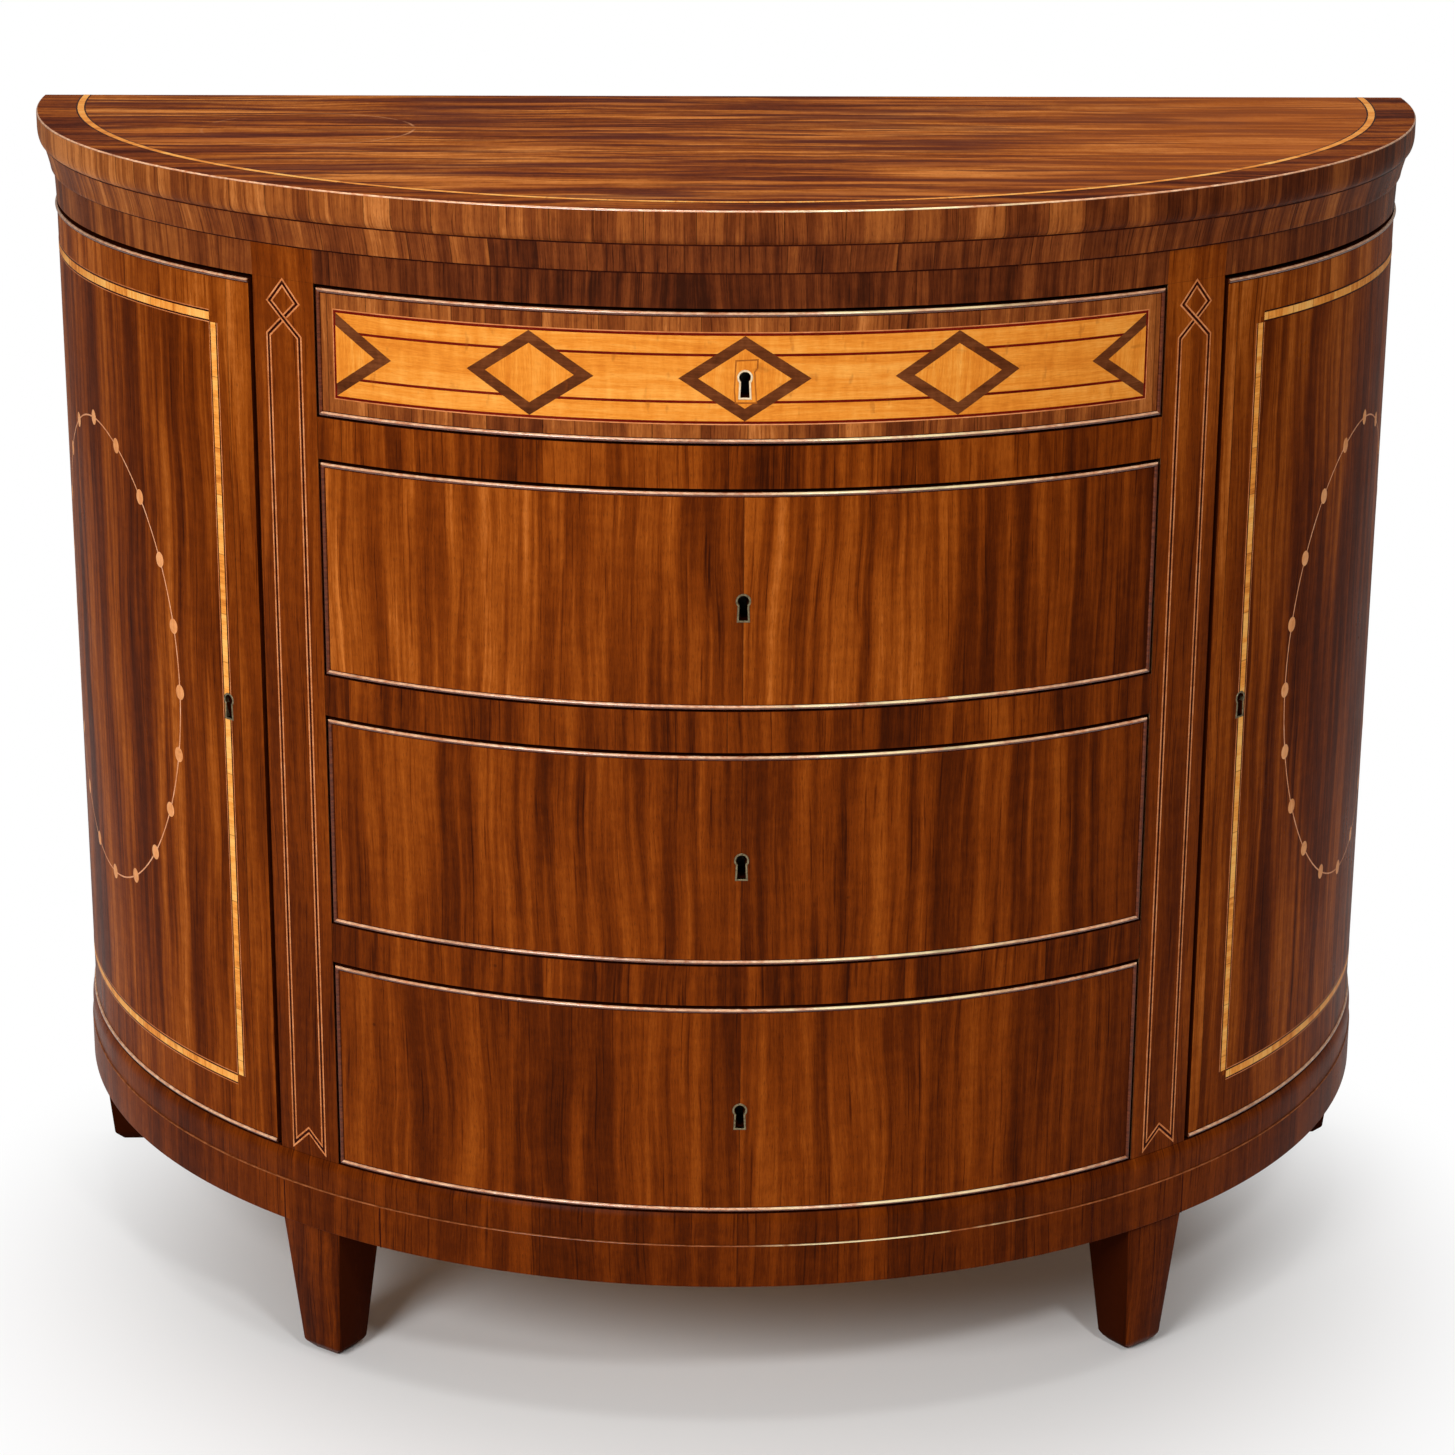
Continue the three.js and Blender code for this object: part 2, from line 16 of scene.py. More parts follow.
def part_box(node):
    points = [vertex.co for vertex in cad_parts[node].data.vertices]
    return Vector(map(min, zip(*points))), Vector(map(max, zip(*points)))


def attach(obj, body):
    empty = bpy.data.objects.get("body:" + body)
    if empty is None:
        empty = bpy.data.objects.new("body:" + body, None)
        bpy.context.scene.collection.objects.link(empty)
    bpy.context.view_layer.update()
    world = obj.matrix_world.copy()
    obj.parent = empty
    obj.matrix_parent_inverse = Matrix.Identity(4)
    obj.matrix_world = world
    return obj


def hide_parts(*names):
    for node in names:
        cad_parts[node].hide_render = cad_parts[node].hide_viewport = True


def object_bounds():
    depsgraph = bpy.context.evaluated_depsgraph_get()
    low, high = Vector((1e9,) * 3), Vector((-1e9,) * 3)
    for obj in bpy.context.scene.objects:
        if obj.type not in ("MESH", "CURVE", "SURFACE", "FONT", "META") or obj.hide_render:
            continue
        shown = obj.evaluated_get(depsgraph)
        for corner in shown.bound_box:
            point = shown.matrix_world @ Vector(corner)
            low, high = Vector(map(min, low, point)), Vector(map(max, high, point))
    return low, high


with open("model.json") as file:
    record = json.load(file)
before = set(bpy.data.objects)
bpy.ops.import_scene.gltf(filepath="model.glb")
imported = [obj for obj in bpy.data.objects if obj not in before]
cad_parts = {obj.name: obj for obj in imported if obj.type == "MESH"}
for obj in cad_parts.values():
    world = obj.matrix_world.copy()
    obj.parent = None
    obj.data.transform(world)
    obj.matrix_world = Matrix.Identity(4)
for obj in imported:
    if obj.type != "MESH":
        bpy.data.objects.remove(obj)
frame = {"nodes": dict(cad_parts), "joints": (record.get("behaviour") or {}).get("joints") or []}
cad_low, cad_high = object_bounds()

# Fineness of the curved pieces
STEP = 0.007            # along the face, between the edges of two facets
ARC_STEPS = 8           # in a quarter of a small round
KEYHOLE_STEPS = 22
BOW_STEPS = 90          # facets on each half of a drawer front
STILE_STEPS = 10
SMOOTH_ANGLE = math.radians(32)     # facets that meet at more than this leave a sharp edge
FLAT_ANGLE = 0.01       # and those that meet at less than this are one face
WELD = 0.00001          # corners nearer than this are one
SHARES = [step / ARC_STEPS for step in range(ARC_STEPS + 1)]
QUARTER = [math.pi / 2 * step / ARC_STEPS for step in range(ARC_STEPS + 1)]

# How far a face looks one way, from 0 to 1, to count as facing it
BACK_FACE = 0.99
FRONT_FACE = 0.5
LEVEL_FACE = 0.95
TOP_ARRIS_FACE = 0.25
PLINTH_ARRIS_FACE = 0.2

# Inlay
LET_IN = 0.0005         # how deep a strip is let into the wood
LAYER = 0.00005         # how far each layer of inlay stands over the one below

# The top and its moulded edge
TOP_SINK = 0.0003       # of the top's surface below the highest inlay on it
TOP_ARRIS = 0.0016
TOP_FOOT_EASE = 0.0008
TOP_SWELL = 0.003       # how far the edge swells outwards
TOP_SWELL_HEAD = 0.012  # from the surface down to where it has swelled fully
TOP_SWELL_START = 0.1   # the share of the swell's height where its curve starts

# The cornice, its hollow and the painted shadow lines in the angles at its head and foot
CORNICE_PROUD = 0.003
COVE_FOOT = 0.0035
COVE_SPREAD = 0.0045
COVE_CURVE = 1.2
COVE_MARGIN = 0.001
CORNICE_HEAD = 0.0076
ANGLE_SHADOW = 0.0013     # how tall a painted shadow line is
ANGLE_SHADOW_ROOT = 0.001 # how far it reaches into the wood
ANGLE_SHADOW_FOOT = 0.0001    # how far its foot and its head stand out
ANGLE_SHADOW_HEAD = 0.0003
HEAD_SHADOW_PROUD = 0.0078
FOOT_SHADOW_PROUD = 0.001

# Boards
UPRIGHT_DEPTH = 0.03    # of the stiles and rear posts
RAIL_DEPTH = 0.04
BOARD_LIP = 0.03        # of the boards' polished edge
BARE_DEPTH = 0.042      # where their bare wood starts
STILE_LAP = 0.0002      # of a stile's face over the boards above and below
FRIEZE_LEAN = 0.001
BASE_PROUD = 0.003
BASE_ARRIS = 0.0006
BASE_FALL = 0.0027      # how far the base band's head slopes back, and over what height
BASE_SLOPE = 0.009

# The plinth and the feet
PLINTH_DEPTH = 0.022
PLINTH_PROUD = 0.004
PLINTH_ARRIS = 0.0009
JOINT_WIDTH = 0.0012
BLOCK_ENDS = (-0.067, 0.024)    # of a front foot's block, whose ends show as joints in the plinth
SOLE_EASE = 0.0075      # how far up a foot is rounded from its sole
SOLE_SHARE = 0.72       # how much of the sole stays flat
SOLE_LEVEL = 0.0005     # a corner lower than this lies in the sole
FOOT_SHANK = 0.02       # and one higher than this above the rounding
ARRIS_EASE = 0.003
ARRIS_ANGLE = math.radians(20)  # edges sharper than this are eased

# Beads round the drawers and doors
BEAD_WIDTH = 0.003
BEAD_PROUD = 0.0015
BEAD_FOOT = 0.0002      # how far a bead reaches into the face
QUIRK_SHADE_WIDTH = 0.0005    # the dark line of painted shade beside a bead

# Drawer fronts and doors
BOARD_THICKNESS = 0.022
FRONT_EASE = 0.0012     # taken off the edges of a front, so that dark lines show all round
DOOR_GAP = 0.0046       # between a door and its stile
DOOR_HEAD_EASE = 0.0018 # taken off a door's head
DOOR_BEAD_STOP = 0.016  # of the bead before the pivot's axis
POST_GAP = 0.0016       # between a door and its rear post

# Keyholes, their liners and the screws of the locks
KEYHOLE_RADIUS = 0.004
KEYHOLE_HEIGHT = 0.0178
KEYHOLE_WAIST = 0.0054
KEYHOLE_FOOT = 0.0064
CUTTER_SPARE = 0.005    # of a keyhole's cutter before and behind the board
LINER_WALL = 0.0014
LINER_DEPTH = 0.003
LINER_PROUD = 0.0004
LINER_ROUND = 0.2       # of a liner's wall, on either side of its crown
PLATE_DEPTH = 0.0001    # corners this near to the rearmost lie on a lock's plate
SCREW_MARGIN = 0.006    # from the edge of a lock's plate
SCREW_RADIUS = 0.0027
SCREW_HEAD = 0.0012

# The inlaid panel of the top drawer
PANEL_HALF_LENGTH = 0.2968
PANEL_LOW = 0.7586
PANEL_HIGH = 0.8174
LOZENGE_HALF_LENGTH = 0.0452
LOZENGE_INNER_SHARE = 0.7
PANEL_STRING_OFFSET = 0.0162   # of the two thin strings from the panel's middle line
PANEL_STRING_WIDTH = 0.0018
PANEL_STRING_LAP = 0.3         # of a string into a lozenge, as a share of its half length
PANEL_EDGE_DARK = 0.0018
PANEL_EDGE_PALE = 0.0008
PANEL_EDGE_LAP = 0.001

# The patch let in round the top drawer's keyhole, where an older fitting sat
OLD_FITTING = [
    (-0.0064, -0.0125), (-0.0072, -0.004), (-0.0066, 0.0075), (-0.0062, 0.0165), (0.0086, 0.0172),
    (0.0084, 0.0115), (0.0064, 0.0088), (0.0072, -0.003), (0.0078, -0.0125),
]
OLD_FITTING_LINE = 0.001

# Stringing on the stiles
STRING_WIDTH = 0.0044
STRING_CORE = 0.0019
LOOP_HALF_WIDTH = 0.0127
LOOP_HEAD = 0.8335
LOOP_SIDE = 0.8195
LOOP_SHOULDER = 0.7955
FRAME_HALF_WIDTH = 0.0143
FRAME_FOOT = 0.1765
FRAME_PEAK = 0.1895
OVERLAP = (0.3, 0.7)    # of the string that crosses over the other, as shares of its slope

# Banding and the oval on each door
BANDING_START = 0.4155         # along the front, to the middle of the front upright
BANDING_END = 0.8045
BANDING_LOW = 0.2105
BANDING_HIGH = 0.8
BANDING_WIDTH = 0.0056
BANDING_DARK = 0.0012
BANDING_PALE = 0.0007
BANDING_CORNER = BANDING_WIDTH * 0.75
OVAL_MIDDLE = 0.612
OVAL_HEIGHT = 0.5062
OVAL_HALF_WIDTH = 0.1368
OVAL_HALF_HEIGHT = 0.184
OVAL_STEPS = 120
OVAL_DOTS = 20
DOT_SIZE = (0.0112, 0.0005, 0.0122)
OVAL_STRING_WIDTH = 0.0014
OVAL_STRING_FLATNESS = 0.2

# The band let into the top, and the ring that a dish left there
TOP_BAND_INSET = 0.0345
TOP_BAND_WIDTH = 0.005
TOP_BAND_DARK = 0.0012
RING_MIDDLE = (-0.321, 0.091)
RING_RADIUS = 0.08

# Where the painted light and shade on a veneer's sides are full, along the front, and where the painted light
# at its head starts and is full
SIDE_REACH = 0.6
HEAD_START = 0.58
HEAD_END = 0.8

# The camera, fitted to the photo, with its turns in degrees
CAMERA_PLACE = (-0.0759, -2.6777, 1.3122)
CAMERA_YAW = 1.55
CAMERA_PITCH = 17.702
CAMERA_ROLL = -0.339
SENSOR_WIDTH = 36
LENS = 90.13

# Each lamp's name, place, the height that it faces on the chest, its size and its power
LAMPS = (
    ("left_lamp", (-1.7, -3.0, 2.3), 0.5, 1.6, 90),
    ("right_lamp", (0.95, -2.7, 2.9), 0.5, 0.5, 28),
    ("top_lamp", (-0.1, 0.0, 3.4), 0.8, 1.6, 36),
)
SKY_COLOUR = (1, 0.95, 0.89, 1)
SKY_STRENGTH = 0.2
FLOOR_COLOUR = (0.93, 0.93, 0.93, 1)
FLOOR_SIZE = 30
SHADOW_REACH = (0.3, 0.7)   # from the middle of the floor to where its shadow fades and ends

# Places taken from the frame
BACK = cad_high.y                                  # the plane of the back, through the front's axis
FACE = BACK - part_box("drawer_rail_1")[0].y         # radius of the curved front
TOP_RADIUS = cad_high.x
HALF_TURN = FACE * math.pi / 2                     # from the middle of the front to the back plane
STILE_START = math.asin(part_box("drawer_rail_1")[1].x / FACE) * FACE
STILE_END = math.asin(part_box("right_stile")[1].x / FACE) * FACE
OPENING_HALF_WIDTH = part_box("right_stile")[0].x
DOOR_START = STILE_END + DOOR_GAP
hinge = next(joint for joint in frame["joints"] if joint["name"] == "right_door_hinge")
PIN_RADIUS = math.hypot(hinge["pos_m"][0], BACK - hinge["pos_m"][1])
PIN_PLACE = math.atan2(hinge["pos_m"][0], BACK - hinge["pos_m"][1]) * FACE
PIN_INSET = FACE - PIN_RADIUS
POST_START = PIN_PLACE + (PIN_INSET + POST_GAP) * FACE / PIN_RADIUS
PANEL_MIDDLE = (PANEL_LOW + PANEL_HIGH) / 2
LOZENGE_HALF_HEIGHT = (PANEL_HIGH - PANEL_LOW) / 2
STILE_MIDDLE = (STILE_START + STILE_END) / 2
STILE_CUTS = (-STILE_END, -STILE_START, STILE_START, STILE_END)

DRAWER_BODIES = ["top_drawer", "second_drawer", "third_drawer", "bottom_drawer"]
SIDES = (("left", -1), ("right", 1))


# Drawing flat

def rectangle(left, right, low, high):
    """Four corners, from the lower left round to the upper left."""
    return [(left, low), (right, low), (right, high), (left, high)]


def stations(start, end, cuts=()):
    """Places from start to end along the front, no more than one facet apart, with one at each cut."""
    marks = [start, *cuts, end]
    places = [start]
    for here, there in zip(marks, marks[1:]):
        count = max(1, math.ceil(abs(there - here) / STEP))
        places.extend(here + (there - here) * step / count for step in range(1, count + 1))
    return places


def loft(rings, closed=False):
    """A solid through rings that have as many corners each, closed on itself or capped."""
    solid = bmesh.new()
    loops = [[solid.verts.new(point) for point in ring] for ring in rings]
    pairs = list(zip(loops, loops[1:]))
    if closed:
        pairs.append((loops[-1], loops[0]))
    else:
        solid.faces.new(reversed(loops[0]))
        solid.faces.new(loops[-1])
    for here, there in pairs:
        for corner in range(len(here)):
            following = (corner + 1) % len(here)
            solid.faces.new((here[corner], here[following], there[following], there[corner]))
    bmesh.ops.recalc_face_normals(solid, faces=solid.faces)
    return solid


def swept(profile, start=-HALF_TURN, end=HALF_TURN, cuts=()):
    """A profile of (outwards, height) corners, swept along the front."""
    return loft([[(along, -out, height) for out, height in profile] for along in stations(start, end, cuts)])


def reach(out, across):
    """How far along the front a plane lies that stands across the chest, at one depth."""
    return FACE * math.asin(across / (FACE + out))


def bowed(profile, half_width):
    """A profile swept between two planes that stand at equal distances left and right."""
    rings = []
    for step in range(-BOW_STEPS, BOW_STEPS + 1):
        share = step / BOW_STEPS
        rings.append([(reach(out, half_width) * share, -out, height) for out, height in profile])
    return loft(rings)


def mitres(path, closed):
    """For each corner of a path, the step to its left that keeps a strip one unit wide."""
    steps = []
    for place, corner in enumerate(path):
        following = (place + 1) % len(path)
        ends = []
        if closed or place > 0:
            ends.append((path[place - 1], corner))
        if closed or following > 0:
            ends.append((corner, path[following]))
        lefts = []
        for here, there in ends:
            along = (Vector(there) - Vector(here)).normalized()
            lefts.append(Vector((-along.y, along.x)))
        middle = sum(lefts, Vector((0, 0))).normalized()
        steps.append(middle / middle.dot(lefts[0]))
    return steps


def run(path, section, closed=False):
    """A strip along a path on the face. Its section has (leftwards, outwards) corners."""
    lefts = mitres(path, closed)
    spans = len(path) if closed else len(path) - 1
    rings = []

    def ring(place, share):
        following = (place + 1) % len(path)
        points = []
        for left, out in section:
            here = Vector(path[place]) + lefts[place] * left
            there = Vector(path[following]) + lefts[following] * left
            corner = here.lerp(there, share)
            points.append((corner.x, -out, corner.y))
        return points

    for place in range(spans):
        following = (place + 1) % len(path)
        steps = max(1, math.ceil(abs(path[following][0] - path[place][0]) / STEP))
        rings.extend(ring(place, step / steps) for step in range(steps))
    if not closed:
        rings.append(ring(spans - 1, 1))
    return loft(rings, closed)


def flat_strip(width, layer):
    """The section of an inlaid strip."""
    return rectangle(-width / 2, width / 2, -LET_IN, layer * LAYER)


def patch(outline, layer):
    """A thin sheet of one outline of (along, height) corners, let into the face."""
    sheet = bmesh.new()
    sheet.faces.new([sheet.verts.new((along, LET_IN, height)) for along, height in outline])
    places = [along for along, height in outline]
    for along in stations(min(places), max(places))[1:-1]:
        parts = sheet.verts[:] + sheet.edges[:] + sheet.faces[:]
        bmesh.ops.bisect_plane(sheet, geom=parts, plane_co=(along, 0, 0), plane_no=(1, 0, 0))
    thick = bmesh.ops.extrude_face_region(sheet, geom=sheet.faces[:])
    outer = [part for part in thick["geom"] if isinstance(part, bmesh.types.BMVert)]
    bmesh.ops.translate(sheet, verts=outer, vec=(0, -LET_IN - layer * LAYER, 0))
    bmesh.ops.recalc_face_normals(sheet, faces=sheet.faces)
    return sheet


def keyhole_outline(middle, height, grow=0.0):
    """The outline of a keyhole, a round over a foot that widens downwards, or a larger one round it."""
    radius = KEYHOLE_RADIUS + grow
    centre = KEYHOLE_HEIGHT / 2 - KEYHOLE_RADIUS
    foot = -KEYHOLE_HEIGHT / 2 - grow
    foot_half = KEYHOLE_FOOT / 2 + grow
    start = math.asin((KEYHOLE_WAIST / 2 + grow) / radius)
    outline = [(-foot_half, foot), (foot_half, foot)]
    for step in range(KEYHOLE_STEPS + 1):
        turn = start + (2 * math.pi - 2 * start) * step / KEYHOLE_STEPS
        outline.append((radius * math.sin(turn), centre - radius * math.cos(turn)))
    return [(middle + along, height + up) for along, up in outline]


def mirrored(path, side):
    """The same path on the other side of the chest."""
    return [(side * along, height) for along, height in path]


# Helpers for nodes and for what Blender makes

def adjusted(thing, **settings):
    """The thing with these settings."""
    for name, value in settings.items():
        setattr(thing, name, value)
    return thing


class Value:
    """Something that a node puts out. A sum with it makes a further node in its tree."""

    def __init__(self, tree, socket):
        self.tree = tree
        self.socket = socket

    def calc(self, operation, *others):
        """One step of arithmetic on it."""
        values = dict(enumerate([self, *others]))
        return put(self.tree, "ShaderNodeMath", values, operation=operation)[0]

    def __add__(self, other):
        return self.calc("ADD", other)

    def __sub__(self, other):
        return self.calc("SUBTRACT", other)

    def __mul__(self, other):
        return self.calc("MULTIPLY", other)

    def __truediv__(self, other):
        return self.calc("DIVIDE", other)


class Outputs:
    """What a node puts out, by name or number."""

    def __init__(self, tree, node):
        self.tree = tree
        self.node = node

    def __getitem__(self, key):
        return Value(self.tree, self.node.outputs[key])


def fill(tree, node, sockets):
    """Links or sets the inputs of a node, by name or number."""
    for key, value in sockets.items():
        if isinstance(value, Value):
            tree.links.new(value.socket, node.inputs[key])
        else:
            node.inputs[key].default_value = value


def put(tree, kind, sockets=None, **settings):
    """A new node with its settings and inputs."""
    node = adjusted(tree.nodes.new(kind), **settings)
    fill(tree, node, sockets or {})
    return Outputs(tree, node)


def axes(place):
    """The parts of a place or vector, by the names of its axes."""
    return put(place.tree, "ShaderNodeSeparateXYZ", {0: place})


def point(tree, **parts):
    """A place or vector made of its parts, each under the name of its axis."""
    return put(tree, "ShaderNodeCombineXYZ", parts)[0]


SOCKET_KINDS = {float: "Float", int: "Int", tuple: "Vector"}


def new_tree(name, kind, inputs):
    """A node group with its inputs, each with its first value, or a kind of socket that has none."""
    tree = bpy.data.node_groups.new(name, kind)
    for label, value in inputs.items():
        socket = SOCKET_KINDS.get(type(value), value)
        made = tree.interface.new_socket(label, in_out="INPUT", socket_type=f"NodeSocket{socket}")
        if socket != value:
            made.default_value = value
    return tree, put(tree, "NodeGroupInput")


def give(tree, kind, **results):
    """Ends a node group with what it puts out, by name, all of one kind."""
    for label in results:
        tree.interface.new_socket(label, in_out="OUTPUT", socket_type=f"NodeSocket{kind}")
    put(tree, "NodeGroupOutput", results)
    return tree


def give_mesh(given, shape):
    """Ends a geometry tree with a plain mesh in its finish."""
    whole = put(shape.tree, "GeometryNodeRealizeInstances", {"Geometry": shape})
    done = put(shape.tree, "GeometryNodeSetMaterial", {"Geometry": whole[0], "Material": given["Finish"]})
    return give(shape.tree, "Geometry", Geometry=done[0])


def changed(shape, **change):
    """A shape moved, turned or scaled."""
    return put(shape.tree, "GeometryNodeTransform", {"Geometry": shape, **change})[0]


# Geometry node trees

UPRIGHT = (math.pi / 2, 0, 0)   # the turn that sets a level shape upright


def lay_round_tree():
    """Lays a flat drawing round the front's axis."""
    tree, given = new_tree("lay_round", "GeometryNodeTree", {
        "Geometry": "Geometry", "Face Radius": 0.5, "Back Plane": 0.0, "Finish": "Material",
    })
    place = axes(put(tree, "GeometryNodeInputPosition")[0])
    angle = place["X"] / given["Face Radius"]
    radius = given["Face Radius"] - place["Y"]
    across = radius * angle.calc("SINE")
    back = given["Back Plane"] - radius * angle.calc("COSINE")
    drawn_round = put(tree, "GeometryNodeSetPosition", {
        "Geometry": given["Geometry"], "Position": point(tree, X=across, Y=back, Z=place["Z"]),
    })
    merged = put(tree, "GeometryNodeMergeByDistance", {"Geometry": drawn_round[0], "Distance": LAYER / 10})
    return give_mesh(given, merged[0])


OVAL_INPUTS = {"Geometry": "Geometry", "Middle": 0.0, "Height": 0.5, "Half Width": 0.1, "Half Height": 0.1}


def oval_curve(tree, given):
    """An upright oval, as a curve in the flat drawing."""
    circle = put(tree, "GeometryNodeCurvePrimitiveCircle", {"Resolution": OVAL_STEPS, "Radius": 1.0})
    return changed(
        circle[0], Rotation=UPRIGHT, Translation=point(tree, X=given["Middle"], Z=given["Height"]),
        Scale=point(tree, X=given["Half Width"], Y=given["Half Height"], Z=1.0))


def dots_tree():
    """Oval dots, evenly spaced on an upright oval, each a shallow dome."""
    tree, given = new_tree("oval_dots", "GeometryNodeTree", {
        **OVAL_INPUTS, "Count": 12, "Dot Size": (0.01, 0.001, 0.01), "Finish": "Material",
    })
    oval = oval_curve(tree, given)
    points = put(tree, "GeometryNodeCurveToPoints", {"Curve": oval, "Count": given["Count"]})
    ball = put(tree, "GeometryNodeMeshUVSphere", {"Segments": 24, "Rings": 8, "Radius": 0.5})
    dots = put(tree, "GeometryNodeInstanceOnPoints", {
        "Points": points[0], "Instance": changed(ball[0], Rotation=UPRIGHT), "Scale": given["Dot Size"],
    })
    return give_mesh(given, dots[0])


def oval_string_tree():
    """A thin string along an upright oval."""
    tree, given = new_tree("oval_string", "GeometryNodeTree", {
        **OVAL_INPUTS, "String Width": 0.001, "Flatness": 0.1, "Finish": "Material",
    })
    section = put(tree, "GeometryNodeCurvePrimitiveCircle", {
        "Resolution": 8, "Radius": given["String Width"] / 2.0,
    })
    oval = oval_curve(tree, given)
    tube = put(tree, "GeometryNodeCurveToMesh", {"Curve": oval, "Profile Curve": section[0]})
    return give_mesh(given, changed(tube[0], Scale=point(tree, X=1.0, Y=given["Flatness"], Z=1.0)))


def screws_tree():
    """Slotted screw heads at the corners of a lock's plate, which faces along the second axis."""
    tree, given = new_tree("lock_screws", "GeometryNodeTree", {
        "Geometry": "Geometry", "Plate Middle": (0, 0, 0), "Spacing": (0.04, 0, 0.04), "Head Radius": 0.003,
        "Head Height": 0.001, "Finish": "Material",
    })
    radius, height = given["Head Radius"], given["Head Height"]
    spacing = axes(given["Spacing"])
    corners = put(tree, "GeometryNodeMeshGrid", {
        "Size X": spacing["X"], "Size Y": spacing["Z"], "Vertices X": 2, "Vertices Y": 2,
    })
    head = put(tree, "GeometryNodeMeshCylinder", {"Vertices": 24, "Radius": radius, "Depth": height})
    slot = put(tree, "GeometryNodeMeshCube", {"Size": point(tree, X=radius * 2.4, Y=radius * 0.34, Z=height)})
    slotted = put(tree, "GeometryNodeMeshBoolean", {
        "Mesh 1": head[0], "Mesh 2": changed(slot[0], Translation=point(tree, Z=height * 0.6)),
    }, operation="DIFFERENCE", solver="FLOAT")
    turn = put(tree, "FunctionNodeRandomValue", {2: 0.0, 3: math.pi, "Seed": 7}, data_type="FLOAT")
    screws = put(tree, "GeometryNodeInstanceOnPoints", {
        "Points": changed(corners[0], Translation=given["Plate Middle"], Rotation=UPRIGHT),
        "Instance": changed(slotted[0], Rotation=(-math.pi / 2, 0, 0)),
        "Rotation": point(tree, Y=turn[1]),
    })
    return give_mesh(given, screws[0])


TREES = {
    "lay_round": lay_round_tree(),
    "oval_dots": dots_tree(),
    "oval_string": oval_string_tree(),
    "screws": screws_tree(),
}


# Making pieces

def linked(name, data):
    """An object of some data, put in the scene."""
    made = bpy.data.objects.new(name, data)
    bpy.context.scene.collection.objects.link(made)
    return made


def new_object(name, solid=None):
    """An object of a drawing, or an empty one for a tree to fill."""
    mesh = bpy.data.meshes.new(name)
    if solid is not None:
        solid.to_mesh(mesh)
        solid.free()
    return linked(name, mesh)


def add_tree(piece, tree_name, **values):
    """A geometry node modifier, with its inputs set before anything is evaluated."""
    modifier = adjusted(piece.modifiers.new(tree_name, "NODES"), node_group=TREES[tree_name])
    for item in modifier.node_group.interface.items_tree:
        key = item.name.lower().replace(" ", "_")
        if item.in_out == "INPUT" and key in values:
            modifier[item.identifier] = values[key]


def lay_round(piece, finish):
    """Lays a flat piece round the front's axis, in its finish."""
    add_tree(piece, "lay_round", face_radius=FACE, back_plane=BACK, finish=FINISH[finish])


def settled(piece):
    """The piece as a plain mesh, with its modifiers worked in, smooth but for its arrises."""
    bpy.context.view_layer.update()
    graph = bpy.context.evaluated_depsgraph_get()
    mesh = bpy.data.meshes.new_from_object(piece.evaluated_get(graph))
    name = piece.name
    old = piece.data
    bpy.data.objects.remove(piece)
    bpy.data.meshes.remove(old)
    mesh.name = name
    mesh.polygons.foreach_set("use_smooth", [True] * len(mesh.polygons))
    mesh.set_sharp_from_angle(angle=SMOOTH_ANGLE)
    return linked(name, mesh)


def finish_piece(piece, body, slot, nodes=()):
    """Ties a finished piece to its body and hides the nodes that it stands for. Its slot is not used."""
    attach(piece, body)
    if nodes:
        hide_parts(*nodes)
    return piece


def laid(name, solid, finish, nodes=(), body="case", slot="mahogany", hole=None, grow=LINER_WALL):
    """A flat drawing laid round the front and finished, with room for the liner named as its hole."""
    piece = new_object(name, solid)
    if hole:
        cutter = new_object(f"{name}_cutter", keyhole_cutter(hole, grow))
        cut = piece.modifiers.new("cut", "BOOLEAN")
        adjusted(cut, operation="DIFFERENCE", solver="EXACT", object=cutter)
    lay_round(piece, finish)
    piece = settled(piece)
    if hole:
        bpy.data.objects.remove(cutter)
    return finish_piece(piece, body, slot, nodes)


def joined(solids):
    """Several drawings as one."""
    whole = solids[0]
    for other in solids[1:]:
        mesh = bpy.data.meshes.new("part")
        other.to_mesh(mesh)
        other.free()
        whole.from_mesh(mesh)
        bpy.data.meshes.remove(mesh)
    return whole


def plan_of(place):
    """How far along the front a point of a finished piece lies, and how far from the axis."""
    forward = BACK - place.y
    return math.atan2(place.x, forward) * FACE, math.hypot(place.x, forward)


def outwards_at(place):
    """Straight out from the front's axis, at a point of a finished piece."""
    return Vector((place.x, place.y - BACK, 0)).normalized()


def faces_back(facing):
    """Whether a face lies in the plane of the back."""
    return facing.y > BACK_FACE


def repaint(piece, finishes, choose):
    """Gives each face its own finish or one of these, by its middle and the way it faces."""
    for finish in finishes:
        piece.data.materials.append(FINISH[finish])
    for face in piece.data.polygons:
        face.material_index = choose(face.center, face.normal)


def shade_edges(piece, with_stiles=False, lining_finish="lining"):
    """A board's edges and the walls of its keyhole are darkened with painted shade, and its inside is
    unpolished wood.

    The veneer of the stiles may run on over its face.
    """

    def choose(centre, facing):
        along, radius = plan_of(centre)
        outwards = facing.dot(outwards_at(centre))
        if radius < FACE - BARE_DEPTH or outwards < -FRONT_FACE or faces_back(facing):
            return 2
        if outwards < FRONT_FACE:
            return 1
        return 3 if with_stiles and STILE_START < abs(along) < STILE_END else 0

    repaint(piece, ["edge", lining_finish] + ["stile"] * with_stiles, choose)


# Colours

def tint(red, green, blue):
    """A colour as it looks on a screen, from 0 to 255, as the shaders take it."""
    shares = [level / 255 for level in (red, green, blue)]
    linear = [share / 12.92 if share <= 0.04045 else ((share + 0.055) / 1.055) ** 2.4 for share in shares]
    return (*linear, 1.0)


def shades(places, *colours):
    """Colours for a ramp, each at its place from 0 to 1."""
    return [(place, tint(*colour)) for place, colour in zip(places, colours)]


